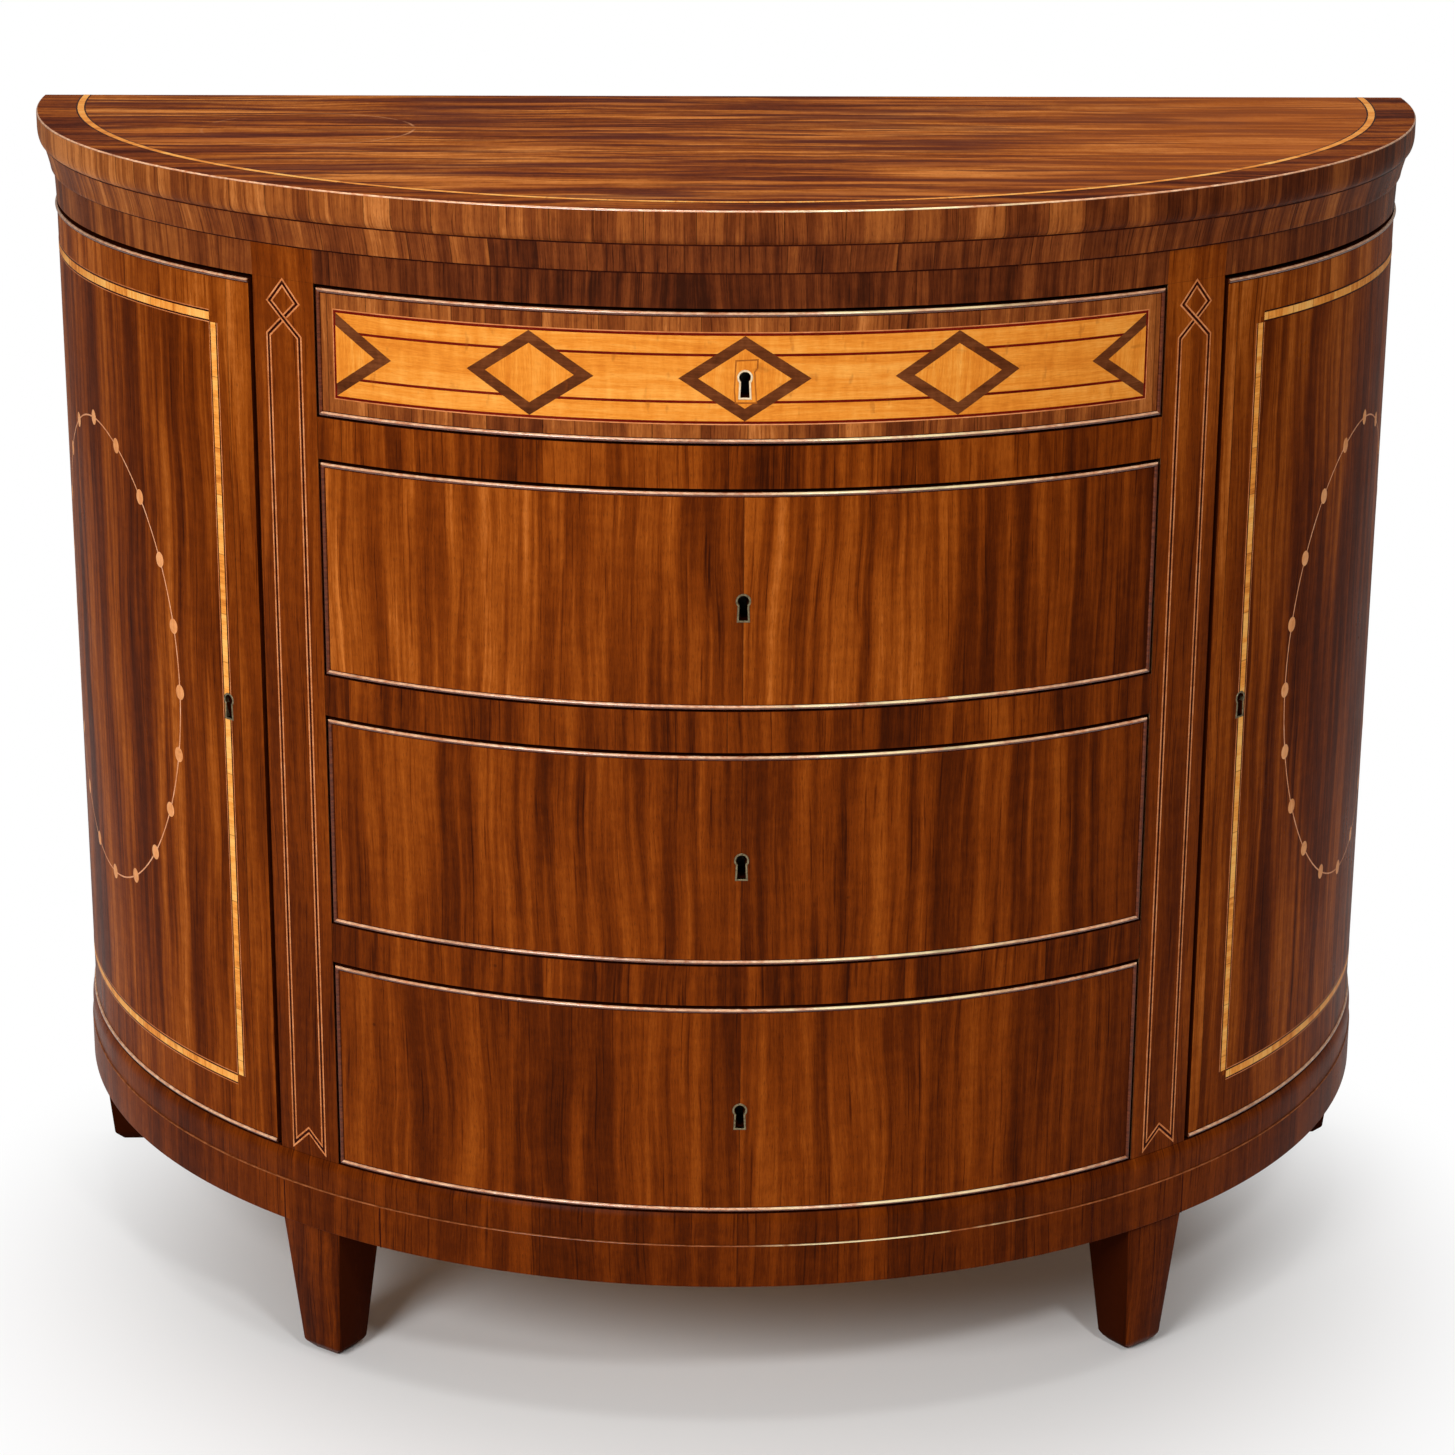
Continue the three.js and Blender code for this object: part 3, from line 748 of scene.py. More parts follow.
# Places of the colours in a ramp
VENEER = (0.0, 0.25, 0.5, 0.75, 1.0)
INLAY = (0.15, 0.45, 0.8)
BARE = (0.1, 0.5, 0.9)
PAIR = (0.3, 0.7)

FRONT_SHADES = shades(VENEER, (52, 16, 2), (84, 31, 3), (116, 49, 6), (150, 73, 16), (194, 109, 42))
HEAD_SHADES = shades(VENEER, (51, 20, 8), (84, 36, 14), (117, 57, 23), (153, 84, 35), (198, 122, 62))
TOP_SHADES = shades(VENEER, (56, 18, 10), (90, 36, 15), (128, 60, 20), (166, 90, 30), (210, 130, 62))
SATIN_SHADES = shades(INLAY, (198, 106, 25), (224, 137, 46), (243, 171, 80))
GOLD_SHADES = shades(INLAY, (188, 100, 30), (240, 152, 62), (255, 192, 104))
STRING_SHADES = shades(INLAY, (180, 106, 64), (226, 154, 108), (246, 188, 148))
EDGE_SHADES = shades(INLAY, (154, 82, 38), (202, 120, 68), (230, 154, 102))
DOT_SHADES = shades(INLAY, (206, 126, 68), (234, 156, 96), (248, 182, 128))
BROWN_SHADES = shades(INLAY, (64, 30, 12), (95, 48, 22), (126, 72, 38))
GLUE_SHADES = shades(INLAY, (118, 58, 18), (152, 82, 26), (180, 104, 38))
RED_SHADES = shades(INLAY, (70, 8, 3), (96, 14, 6), (120, 26, 12))
DARK_SHADES = shades(INLAY, (34, 8, 3), (48, 12, 4), (66, 20, 7))
LINING_SHADES = shades(BARE, (112, 76, 44), (160, 116, 72), (194, 152, 104))
BACK_SHADES = shades(BARE, (74, 50, 32), (112, 80, 52), (146, 110, 76))
# Painted shade and painted highlight for beads and arrises, with a darker, shaded copy for upright beads
BEAD_SHADE = shades(PAIR, (58, 20, 6), (112, 52, 20))
BEAD_HIGHLIGHT = shades(PAIR, (206, 124, 78), (255, 210, 168))
UPRIGHT_BEAD_SHADE = shades(PAIR, (66, 22, 8), (120, 58, 30))
PLINTH_HIGHLIGHT = shades(PAIR, (120, 60, 26), (176, 104, 60))
IRON_SHADES = shades(PAIR, (46, 42, 38), (96, 90, 82))
LINER_SHADES = shades(PAIR, (84, 72, 50), (150, 136, 104))
BONE_SHADES = shades(PAIR, (206, 178, 138), (240, 218, 182))
BRASS_SHADES = shades(PAIR, (128, 98, 48), (196, 160, 92))


# Patterns

def object_vector(tree):
    """The place in the piece's own frame, which is the chest's."""
    return put(tree, "ShaderNodeTexCoord")["Object"]


def moved(place, **steps):
    """A place moved along some of its axes."""
    sockets = {0: place, 1: point(place.tree, **steps)}
    return put(place.tree, "ShaderNodeVectorMath", sockets, operation="ADD")[0]


def noise(place, size, detail=2.0, roughness=0.5):
    """Noise whose features have one size along each axis, from 0 to 1."""
    scale = tuple(1 / length for length in size)
    stretched = put(place.tree, "ShaderNodeVectorMath", {0: place, 1: scale}, operation="MULTIPLY")
    return put(place.tree, "ShaderNodeTexNoise", {
        "Vector": stretched[0], "Scale": 1.0, "Detail": detail, "Roughness": roughness,
    })[0]


def between(value, low, high, to_low=0.0, to_high=1.0):
    """A value mapped smoothly from one range to another."""
    return put(value.tree, "ShaderNodeMapRange", {
        0: value, 1: low, 2: high, 3: to_low, 4: to_high,
    }, interpolation_type="SMOOTHSTEP")[0]


def ramp(value, stops):
    """Colours for a value from 0 to 1."""
    made = put(value.tree, "ShaderNodeValToRGB", {0: value})
    elements = made.node.color_ramp.elements
    for place in range(len(stops) - 2):
        elements.new(0.5)
    for element, (place, colour) in zip(elements, stops):
        element.position = place
        element.color = colour
    return made[0]


def mixed(share, first, second):
    """The first colour, turned into the second by a share."""
    return put(share.tree, "ShaderNodeMix", {0: share, 6: first, 7: second}, data_type="RGBA")[2]


def bumped(height, strength, distance):
    """A normal that follows a height."""
    sockets = {"Strength": strength, "Distance": distance, "Height": height}
    return put(height.tree, "ShaderNodeBump", sockets)[0]


def front_plan_group():
    """Where a point lies on the unrolled front: along it, outwards and up."""
    tree, given = new_tree("front_plan", "ShaderNodeTree", {"Back Plane": 0.0, "Face Radius": 0.5})
    place = axes(object_vector(tree))
    forward = given["Back Plane"] - place["Y"]
    angle = place["X"].calc("ARCTAN2", forward)
    radius = (place["X"] * place["X"] + forward * forward).calc("SQRT")
    return give(tree, "Vector", Vector=point(tree, X=angle * given["Face Radius"], Y=radius, Z=place["Z"]))


def leaves_group():
    """Leaves of veneer laid side by side: each has its own tone and grain, and a seam at its edge."""
    tree, given = new_tree("veneer_leaves", "ShaderNodeTree", {
        "Along": 0.0, "Leaf Width": 0.1, "Unevenness": 0.8, "Seed": 0.0,
    })
    width = given["Leaf Width"]
    sockets = {"W": given["Along"] / width + given["Seed"], "Scale": 1.0, "Randomness": given["Unevenness"]}
    leaf = put(tree, "ShaderNodeTexVoronoi", sockets, voronoi_dimensions="1D", feature="F1")
    edge = put(tree, "ShaderNodeTexVoronoi", sockets, voronoi_dimensions="1D", feature="DISTANCE_TO_EDGE")
    parts = put(tree, "ShaderNodeSeparateColor", {0: leaf["Color"]})
    seam = between(edge["Distance"] * width, 0.0001, 0.0006, 1.0, 0.0)
    return give(tree, "Float", Tone=parts[0], Shift=parts[1], Seam=seam)


def grain_group():
    """Straight-grained wood: across the grain is the first axis, along it the third."""
    tree, given = new_tree("grain", "ShaderNodeTree", {
        "Vector": (0, 0, 0), "Shift": 0.0, "Stripe Scale": 1.0, "Waviness": 0.02,
    })
    away = given["Shift"] * 7.3
    place = moved(given["Vector"], X=away, Z=away)
    bend = noise(place, (0.11, 0.4, 0.22)) - 0.5
    bent = moved(place, X=bend * given["Waviness"])
    sockets = {0: bent, "Scale": given["Stripe Scale"]}
    scaled = put(tree, "ShaderNodeVectorMath", sockets, operation="SCALE")[0]
    broad = noise(scaled, (0.05, 0.5, 0.6))
    ribbon = noise(scaled, (0.015, 0.5, 0.32), 2.0, 0.6)
    narrow = noise(scaled, (0.0045, 0.5, 0.2), 2.0, 0.6)
    stripes = broad * 0.38 + (ribbon * 0.4 + narrow * 0.22)
    return give(
        tree, "Float",
        Stripes=between(stripes, 0.36, 0.64),
        Fibre=between(noise(bent, (0.001, 0.5, 0.014), 3.0, 0.7), 0.25, 0.75),
        Pores=between(noise(bent, (0.0005, 0.5, 0.005), 1.0), 0.58, 0.72),
        Lines=between(noise(scaled, (0.0024, 0.5, 0.11), 2.0, 0.6), 0.58, 0.7),
        Mottle=between(noise(bent, (0.02, 0.5, 0.011), 3.0, 0.6), 0.3, 0.7))


def polish_group():
    """How an old polished surface varies: handling, fine scratches and small dents."""
    tree, given = new_tree("old_polish", "ShaderNodeTree", {
        "Roughness": 0.3, "Fibre": 0.5, "Pores": 0.0, "Wear": 0.5,
    })
    here = object_vector(tree)
    smears = noise(here, (0.09, 0.09, 0.09), 4.0, 0.6)
    turned = put(tree, "ShaderNodeVectorRotate", {"Vector": here, "Axis": (0.3, 1.0, 0.2), "Angle": 0.7})
    scratches = between(noise(turned[0], (0.0006, 0.05, 0.05), 1.0), 0.7, 0.76)
    spots = put(tree, "ShaderNodeTexVoronoi", {"Vector": here, "Scale": 9.0}, feature="F1")
    dents = between(spots["Distance"], 0.008, 0.017, 1.0, 0.0)
    wear_and_sheen = (smears - 0.45) * given["Wear"]
    rough = given["Roughness"] + wear_and_sheen * 0.5 + given["Pores"] * 0.12
    height = given["Fibre"] * 0.25 - given["Pores"] * 0.5 - scratches * 0.4 - dents
    return give(tree, "Float", Roughness=rough, Height=height, Dents=dents * given["Wear"])


GROUPS = {
    "front_plan": front_plan_group(),
    "leaves": leaves_group(),
    "grain": grain_group(),
    "polish": polish_group(),
}


def group(tree, name, sockets):
    """One of the shader groups, placed in a material."""
    return put(tree, "ShaderNodeGroup", sockets, node_tree=GROUPS[name])


def veneer_leaf(along, width, unevenness, seed):
    """The leaf of veneer at a place along a row of them."""
    return group(along.tree, "leaves", {
        "Along": along, "Leaf Width": width, "Unevenness": unevenness, "Seed": float(seed),
    })


def front_vector(tree):
    """Across the grain, outwards and along the grain, for grain that stands upright on the front."""
    return group(tree, "front_plan", {"Back Plane": BACK, "Face Radius": FACE})["Vector"]


def front_turned(tree):
    """The same place, for grain that runs along the front."""
    place = axes(front_vector(tree))
    return point(tree, X=place["Z"], Y=place["Y"], Z=place["X"])


def swapped_vector(order, length=1.0):
    """A vector for grain across the first axis in the order and along the last, drawn out to a length."""

    def vector(tree):
        place = axes(object_vector(tree))
        return point(tree, X=place[order[0]], Y=place[order[1]], Z=place[order[2]] / length)

    return vector


# Materials

def new_material(name):
    """A material, its tree and its shader."""
    material = bpy.data.materials.new(name)
    material.use_nodes = True
    return material, material.node_tree, material.node_tree.nodes["Principled BSDF"]


def polished(tree, shader, colour, fibre, pores, roughness, wear, specular, density=1.3):
    """Sets the shader of a polished wood."""
    polish = group(tree, "polish", {"Roughness": roughness, "Fibre": fibre, "Pores": pores, "Wear": wear})
    fill(tree, shader, {
        "Base Color": mixed(polish["Dents"], colour, tint(30, 10, 4)),
        "Roughness": polish["Roughness"],
        "Normal": bumped(polish["Height"], 0.25, 0.0002),
        "Specular IOR Level": specular,
        "IOR": density,
    })


# How leaves of veneer lie: their width, how uneven it is, and how much their tones differ
WHOLE_LEAF = (0.6, 0.0, 0.06)
WIDE_LEAVES = (0.13, 0.7, 0.18)
NARROW_LEAVES = (0.034, 0.9, 0.3)


def mahogany(name, seed, tone=0.0, leaves=WHOLE_LEAF, figure=0.6, scale=1.0, sides=(0.0, 0.0), rise=0.0,
             vector=front_vector, stops=FRONT_SHADES, lines=0.25, roughness=0.3, specular=0.05,
             waviness=0.02, marks=()):
    """Polished mahogany, lighter by its tone, with painted light and shade towards its left and right sides
    and painted light near its head.
    """
    material, tree, shader = new_material(name)
    place = vector(tree)
    along = axes(place)["X"]
    width, unevenness, difference = leaves
    leaf = veneer_leaf(along, width, unevenness, seed)
    grain = group(tree, "grain", {
        "Vector": place, "Shift": leaf["Shift"] + seed * 0.37, "Stripe Scale": scale, "Waviness": waviness,
    })
    parts = [
        (grain["Stripes"], figure), (leaf["Tone"], difference),
        (grain["Fibre"], 0.16), (grain["Mottle"], 0.07),
    ]
    # Painted light and shade: lighter or darker towards the left and right sides, and lighter towards the
    # head
    level = between(along, -SIDE_REACH, 0.0, sides[0], 0.0) + between(along, 0.0, SIDE_REACH, 0.0, sides[1])
    level += between(axes(place)["Z"], HEAD_START, HEAD_END, 0.0, rise)
    level += tone + 0.5 - sum(share for value, share in parts) / 2
    for value, share in parts:
        level += value * share
    level -= grain["Lines"] * lines
    colour = mixed(grain["Pores"] * 0.4 + leaf["Seam"] * 0.6, ramp(level, stops), tint(40, 13, 4))
    for mark in marks:
        colour = mark(colour)
    polished(tree, shader, colour, grain["Fibre"], grain["Pores"], roughness, 0.5, specular)
    return material


def wandering_streaks(colour):
    """Thin dark and pale streaks that wander along the grain of the top."""
    here = object_vector(colour.tree)
    bent = moved(here, Y=(noise(here, (0.5, 0.12, 0.1)) - 0.5) * 0.04)
    level = noise(bent, (0.26, 0.0125, 0.1), 3.0, 0.6)
    paler = mixed(between(level, 0.36, 0.44, 0.6, 0.0), colour, tint(188, 106, 46))
    return mixed(between(level, 0.53, 0.6, 0.0, 0.85), paler, tint(82, 32, 20))


def dark_clouds(colour):
    """Broad purple-brown clouds across the top, more of them towards its left, and a warmer tone towards its
    right.
    """
    here = object_vector(colour.tree)
    across = axes(here)["X"]
    warm = mixed(between(across, 0.05, 0.45, 0.0, 0.45), colour, tint(176, 92, 34))
    level = noise(here, (0.3, 0.06, 0.1), 4.0, 0.6) - across * 0.05
    return mixed(between(level, 0.5, 0.68, 0.0, 0.7), warm, tint(84, 34, 24))


def ring_mark(colour):
    """A faint pale ring that a wet dish left on the top, broken in places."""
    here = object_vector(colour.tree)
    place = axes(here)
    across = place["X"] - RING_MIDDLE[0]
    back = place["Y"] - RING_MIDDLE[1]
    from_ring = ((across * across + back * back).calc("SQRT") - RING_RADIUS).calc("ABSOLUTE")
    line = between(from_ring, 0.0003, 0.0016, 1.0, 0.0)
    broken = between(noise(here, (0.03, 0.03, 0.03), 3.0), 0.38, 0.54)
    stronger = between(across, -RING_RADIUS, RING_RADIUS, 0.2, 0.55)
    return mixed(line * broken * stronger, colour, tint(214, 150, 104))


def highlighted_edge(name, dark, pale, low, high, specular=0.9):
    """The wood of a bead or arris, with a painted highlight on its upper side, painted shade below, and a
    painted cream glint just right of the front's middle.
    """
    material, tree, shader = new_material(name)
    place = front_vector(tree)
    # Painted highlight: faces that look upwards take the pale colours, broken in patches, and the rest takes
    # the dark painted shade
    upwards = axes(put(tree, "ShaderNodeNewGeometry")["Normal"])["Z"]
    highlight_breaks = noise(place, (0.05, 0.5, 0.05), 4.0, 0.7)
    wear_and_sheen = between(upwards, low, high) * between(highlight_breaks, 0.28, 0.55, 0.55, 1.0)
    fine = noise(place, (0.006, 0.5, 0.002), 3.0, 0.6)
    along = axes(place)["X"]
    # Painted glint: a cream streak along the stretch of the front just right of its middle
    glint_span = between(along, 0.0, 0.06).calc("MINIMUM", between(along, 0.14, 0.24, 1.0, 0.0))
    glint_breaks = between(noise(place, (0.03, 0.5, 0.04), 3.0, 0.6), 0.36, 0.5)
    highlight_colour = mixed(glint_span * glint_breaks, ramp(fine, pale), tint(255, 232, 178))
    polished(tree, shader, mixed(wear_and_sheen, ramp(fine, dark), highlight_colour), fine, 0.0, 0.22, 0.3, specular, 1.45)
    fill(tree, shader, {"Coat Weight": 0.35, "Coat Roughness": 0.12})
    return material


def satinwood(name, seed, stops, vector, figure=(0.014, 0.3, 0.0045), strength=0.5, joints=0.0):
    """Pale polished wood with a soft cross figure, in short pieces where joints gives their length."""
    material, tree, shader = new_material(name)
    place = vector(tree)
    grain = group(tree, "grain", {
        "Vector": place, "Shift": seed * 0.53, "Stripe Scale": 2.0, "Waviness": 0.02,
    })
    level = grain["Stripes"] * 0.3 + noise(place, figure, 3.0, 0.55) * strength + grain["Fibre"] * 0.2
    flecks = between(noise(place, (0.015, 0.3, 0.007)), 0.63, 0.77)
    dark = grain["Pores"] * 0.18 + flecks * 0.35
    if joints:
        leaf = veneer_leaf(axes(place)["X"], joints, 0.9, seed)
        level = level + leaf["Tone"] * 0.3 - 0.15
        dark += leaf["Seam"] * 0.6
    colour = mixed(dark, ramp(level, stops), tint(140, 68, 20))
    polished(tree, shader, colour, grain["Fibre"], grain["Pores"], 0.3, 0.35, 0.05)
    return material


def lining(name, seed, board_width=0.14, vector=object_vector, stops=LINING_SHADES):
    """Bare wood of the linings, in boards, dusty and dry."""
    material, tree, shader = new_material(name)
    place = vector(tree)
    leaf = veneer_leaf(axes(place)["X"], board_width, 0.2, seed)
    grain = group(tree, "grain", {
        "Vector": place, "Shift": leaf["Shift"], "Stripe Scale": 1.3, "Waviness": 0.012,
    })
    level = grain["Stripes"] * 0.5 + grain["Fibre"] * 0.3 + leaf["Tone"] * 0.2
    dark = grain["Pores"] * 0.3 + leaf["Seam"] * 0.7
    fill(tree, shader, {
        "Base Color": mixed(dark, ramp(level, stops), tint(60, 38, 20)),
        "Roughness": between(grain["Fibre"], 0.2, 0.8, 0.62, 0.78),
        "Normal": bumped(grain["Fibre"] - grain["Pores"], 0.5, 0.0003),
        "Specular IOR Level": 0.25,
    })
    return material


def metal(name, stops, size, roughness, metallic):
    """Old metal, cloudy and tarnished in patches."""
    material, tree, shader = new_material(name)
    clouds = noise(object_vector(tree), (size, size, size), 4.0, 0.65)
    fill(tree, shader, {
        "Base Color": ramp(clouds, stops),
        "Roughness": between(clouds, 0.3, 0.7, roughness + 0.15, roughness - 0.1),
        "Normal": bumped(clouds, 0.3, 0.0002),
        "Metallic": metallic,
    })
    return material


TOP_WOOD = {
    "vector": swapped_vector("YZX", 0.6), "stops": TOP_SHADES, "scale": 1.25, "roughness": 0.36,
    "specular": 0.015, "waviness": 0.04,
}
HEAD_WOOD = {"stops": HEAD_SHADES}
CROSS_FIGURE = (0.005, 0.3, 0.02)
SOLID_WOOD = {"vector": object_vector}

# After the leaves, figure and scale come the painted light and shade at the left and right sides, then the
# painted light near the head
FINISH = {
    "top": mahogany("top_veneer", 3, 0.09, figure=0.8, lines=0.3,
                    marks=(wandering_streaks, dark_clouds, ring_mark), **TOP_WOOD),
    "top_border": mahogany("top_border_veneer", 3, -0.12, figure=0.7, lines=0.4, **TOP_WOOD),
    "top_edge": mahogany("top_edge_banding", 11, -0.02, NARROW_LEAVES, 0.45, 2.1, (0.36, -0.08), **HEAD_WOOD),
    "cornice": mahogany("cornice_banding", 23, -0.1, NARROW_LEAVES, 0.45, 2.1, (0.2, 0.09), **HEAD_WOOD),
    "frieze": mahogany("frieze_veneer", 29, -0.27, WIDE_LEAVES, 0.5, 1.8, (0.32, 0.22), **HEAD_WOOD),
    "case": mahogany("case_veneer", 31, -0.19, WIDE_LEAVES, 0.55, 1.3, (0.25, 0.1), 0.08),
    "base": mahogany("base_veneer", 37, -0.23, WIDE_LEAVES, 0.32, 1.2, (0.17, 0.16)),
    "stile": mahogany("stile_veneer", 41, -0.07, WHOLE_LEAF, 0.4, 1.4, (0.07, -0.07), 0.15),
    "drawer_1": mahogany("top_drawer_veneer", 17, 0.09, NARROW_LEAVES, 0.45, 1.8, **HEAD_WOOD),
    "drawer_2": mahogany("second_drawer_veneer", 5.5, 0.01, figure=0.66, sides=(0.48, -0.48)),
    "drawer_3": mahogany("third_drawer_veneer", 8.5, -0.1, figure=0.6, sides=(0.08, -0.14)),
    "drawer_4": mahogany("bottom_drawer_veneer", 14.5, -0.13, figure=0.5, sides=(0.24, -0.12)),
    "door_panel": mahogany("door_panel_veneer", 7, -0.01, figure=0.65, scale=1.1, specular=0.025),
    "door_border": mahogany("door_border_veneer", 13, 0.03, WIDE_LEAVES, 0.5, 1.3, rise=0.15, specular=0.03),
    "foot": mahogany("foot_wood", 53, -0.19, figure=0.4, scale=1.4, **SOLID_WOOD),
    # Painted shade: darker wood for the shut edges, the keyhole walls, the feet's inner sides and the rear
    # feet
    "edge": mahogany("shut_edges", 59, -0.5, figure=0.15, roughness=0.6, specular=0.02, **SOLID_WOOD),
    # Arrises and beads carry painted highlights and painted shade, and the upright beads take a darker copy:
    # painted shade
    "arris": highlighted_edge("top_arris", BEAD_SHADE, BEAD_HIGHLIGHT, 0.1, 0.5),
    "plinth_arris": highlighted_edge("plinth_arris", BEAD_SHADE, PLINTH_HIGHLIGHT, 0, 0.6, 0.1),
    "bead": highlighted_edge("bead_wood", BEAD_SHADE, BEAD_HIGHLIGHT, -0.1, 0.45),
    "upright_bead": highlighted_edge("upright_bead_wood", BEAD_SHADE, UPRIGHT_BEAD_SHADE, -0.5, 0.5, 0.08),
    "satin": satinwood("panel_satinwood", 2, SATIN_SHADES, front_turned, (0.02, 0.3, 0.006), 0.4),
    "lozenge": satinwood("lozenge_satinwood", 8, SATIN_SHADES, front_vector, strength=0.35),
    "gold_level": satinwood("level_banding", 4, GOLD_SHADES, front_vector, CROSS_FIGURE, 0.6, 0.035),
    "gold_upright": satinwood("upright_banding", 5, GOLD_SHADES, front_turned, CROSS_FIGURE, 0.6, 0.045),
    "top_band": satinwood("top_band_satinwood", 10, GOLD_SHADES, front_vector, (0.006, 0.3, 0.02), 0.5, 0.05),
    "boxwood": satinwood("boxwood_string", 6, STRING_SHADES, front_turned),
    "pale_edge": satinwood("boxwood_edge", 16, EDGE_SHADES, front_turned),
    "dots": satinwood("boxwood_dots", 9, DOT_SHADES, front_vector),
    "brown": satinwood("brown_banding", 12, BROWN_SHADES, front_turned, strength=0.4),
    "glue": satinwood("old_glue_line", 20, GLUE_SHADES, front_turned),
    "red": satinwood("red_string", 18, RED_SHADES, front_turned),
    "dark": satinwood("dark_string", 14, DARK_SHADES, front_turned),
    "lining": lining("lining_boards", 3),
    "upright_lining": lining("upright_lining_boards", 6, vector=swapped_vector("YXZ")),
    "side_lining": lining("drawer_side_boards", 8, 0.6, swapped_vector("ZXY")),
    "rear_lining": lining("drawer_back_boards", 9, 0.6, swapped_vector("ZYX")),
    "front_lining": lining("front_lining_boards", 12, 0.2, front_vector),
    "back": lining("back_boards", 5, 0.17, stops=BACK_SHADES),
    "iron": metal("lock_iron", IRON_SHADES, 0.006, 0.5, 0.8),
    "liner": metal("keyhole_brass", LINER_SHADES, 0.002, 0.42, 0.7),
    "pale_liner": metal("keyhole_bone", BONE_SHADES, 0.004, 0.5, 0.0),
    "brass": metal("pin_brass", BRASS_SHADES, 0.004, 0.35, 1.0),
}


# The case

def make_top():
    """The slab, whose moulded edge swells outwards up to an arris that carries a painted highlight."""
    low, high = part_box("top_board")
    foot, head = low.z, high.z - TOP_SINK
    proud = TOP_RADIUS - FACE
    foot_proud = proud - TOP_SWELL
    swell = head - TOP_SWELL_HEAD - foot
    profile = [(-FACE, foot), (foot_proud - TOP_FOOT_EASE, foot), (foot_proud, foot + TOP_FOOT_EASE)]
    for turn in QUARTER[1:]:
        risen = TOP_SWELL_START + (1 - TOP_SWELL_START) * (1 - math.cos(turn))
        profile.append((foot_proud + TOP_SWELL * math.sin(turn), foot + swell * risen))
    for turn in QUARTER:
        profile.append((proud - TOP_ARRIS * (1 - math.cos(turn)), head - TOP_ARRIS * (1 - math.sin(turn))))
    band_proud = proud - TOP_BAND_INSET
    profile += [(band_proud, head), (-FACE, head)]
    slab = laid("top_slab", swept(profile), "top_edge", ["top_board"])

    def choose(centre, facing):
        if faces_back(facing):
            return 4
        if facing.z > LEVEL_FACE:
            return 1 if plan_of(centre)[1] < FACE + band_proud else 2
        return 3 if facing.z > TOP_ARRIS_FACE else 0

    repaint(slab, ["top", "top_border", "arris", "lining"], choose)


def make_top_band():
    """The band let into the top: its strips lie flat, so their section is turned on its side."""
    head = cad_high.z - TOP_SINK
    middle = TOP_RADIUS - FACE - TOP_BAND_INSET
    for name, width, layer, finish, slot in (
        ("top_band_edges", TOP_BAND_WIDTH + 2 * TOP_BAND_DARK, 1, "dark", "mahogany"),
        ("top_band", TOP_BAND_WIDTH, 2, "top_band", "satinwood"),
    ):
        section = rectangle(middle - width / 2, middle + width / 2, head - LET_IN, head + layer * LAYER)
        laid(name, swept(section), finish, slot=slot)


def make_cornice():
    """The hollow step under the top, with painted shadow lines in its angles."""
    low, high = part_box("cornice")
    height = high.z - low.z - 2 * COVE_MARGIN
    cove = []
    for share in SHARES:
        cove.append((COVE_FOOT + COVE_SPREAD * share ** COVE_CURVE, low.z + COVE_MARGIN + height * share))
    profile = [(-FACE, low.z), (CORNICE_PROUD, low.z), *cove, (CORNICE_HEAD, high.z), (-FACE, high.z)]
    moulding = laid("cornice_moulding", swept(profile), "cornice", ["cornice"])
    repaint(moulding, ["lining"], lambda centre, facing: int(faces_back(facing)))
    # Dark strips under the top's edge and under the cornice: painted shadow
    for name, head, proud in (
        ("cornice_head_line", high.z, HEAD_SHADOW_PROUD),
        ("cornice_foot_line", low.z, FOOT_SHADOW_PROUD),
    ):
        foot, root = head - ANGLE_SHADOW, proud - ANGLE_SHADOW_ROOT
        profile = [
            (root, foot), (proud + ANGLE_SHADOW_FOOT, foot), (proud + ANGLE_SHADOW_HEAD, head), (root, head),
        ]
        laid(name, swept(profile), "dark")


def make_boards():
    """The carcass top with the frieze on its edge, and the bottom board with the base band."""
    low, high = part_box("carcass_top")
    profile = [
        (-FACE, low.z), (-BOARD_LIP, low.z), (0.0, low.z), (FRIEZE_LEAN / 2, (low.z + high.z) / 2),
        (FRIEZE_LEAN, high.z), (-FACE, high.z),
    ]
    shade_edges(laid("frieze", swept(profile, cuts=STILE_CUTS), "frieze", ["carcass_top"]), True)

    low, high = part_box("bottom_board")
    profile = [
        (-FACE, low.z), (-BOARD_LIP, low.z), (BASE_PROUD - BASE_ARRIS / 3, low.z),
        (BASE_PROUD, low.z + BASE_ARRIS),
        *((BASE_PROUD - BASE_FALL * share ** 2, high.z - BASE_SLOPE * (1 - share)) for share in SHARES),
        (-BOARD_LIP, high.z), (-FACE, high.z),
    ]
    shade_edges(laid("base_band", swept(profile, cuts=STILE_CUTS), "base", ["bottom_board"]), True)


def edge_rounded(corners, radius, sharp):
    """A profile whose corners are rounded, but for those that stay sharp."""
    points = []
    for place, corner in enumerate(corners):
        if place in sharp:
            points.append(corner)
            continue
        here = Vector(corner)
        before, after = (Vector(corners[place + step]) - here for step in (-1, 1))
        start, end = (here + way.normalized() * radius for way in (before, after))
        for share in (0, 0.25, 0.5, 0.75, 1):
            points.append(tuple(start * (1 - share) ** 2 + here * 2 * share * (1 - share) + end * share ** 2))
    return points


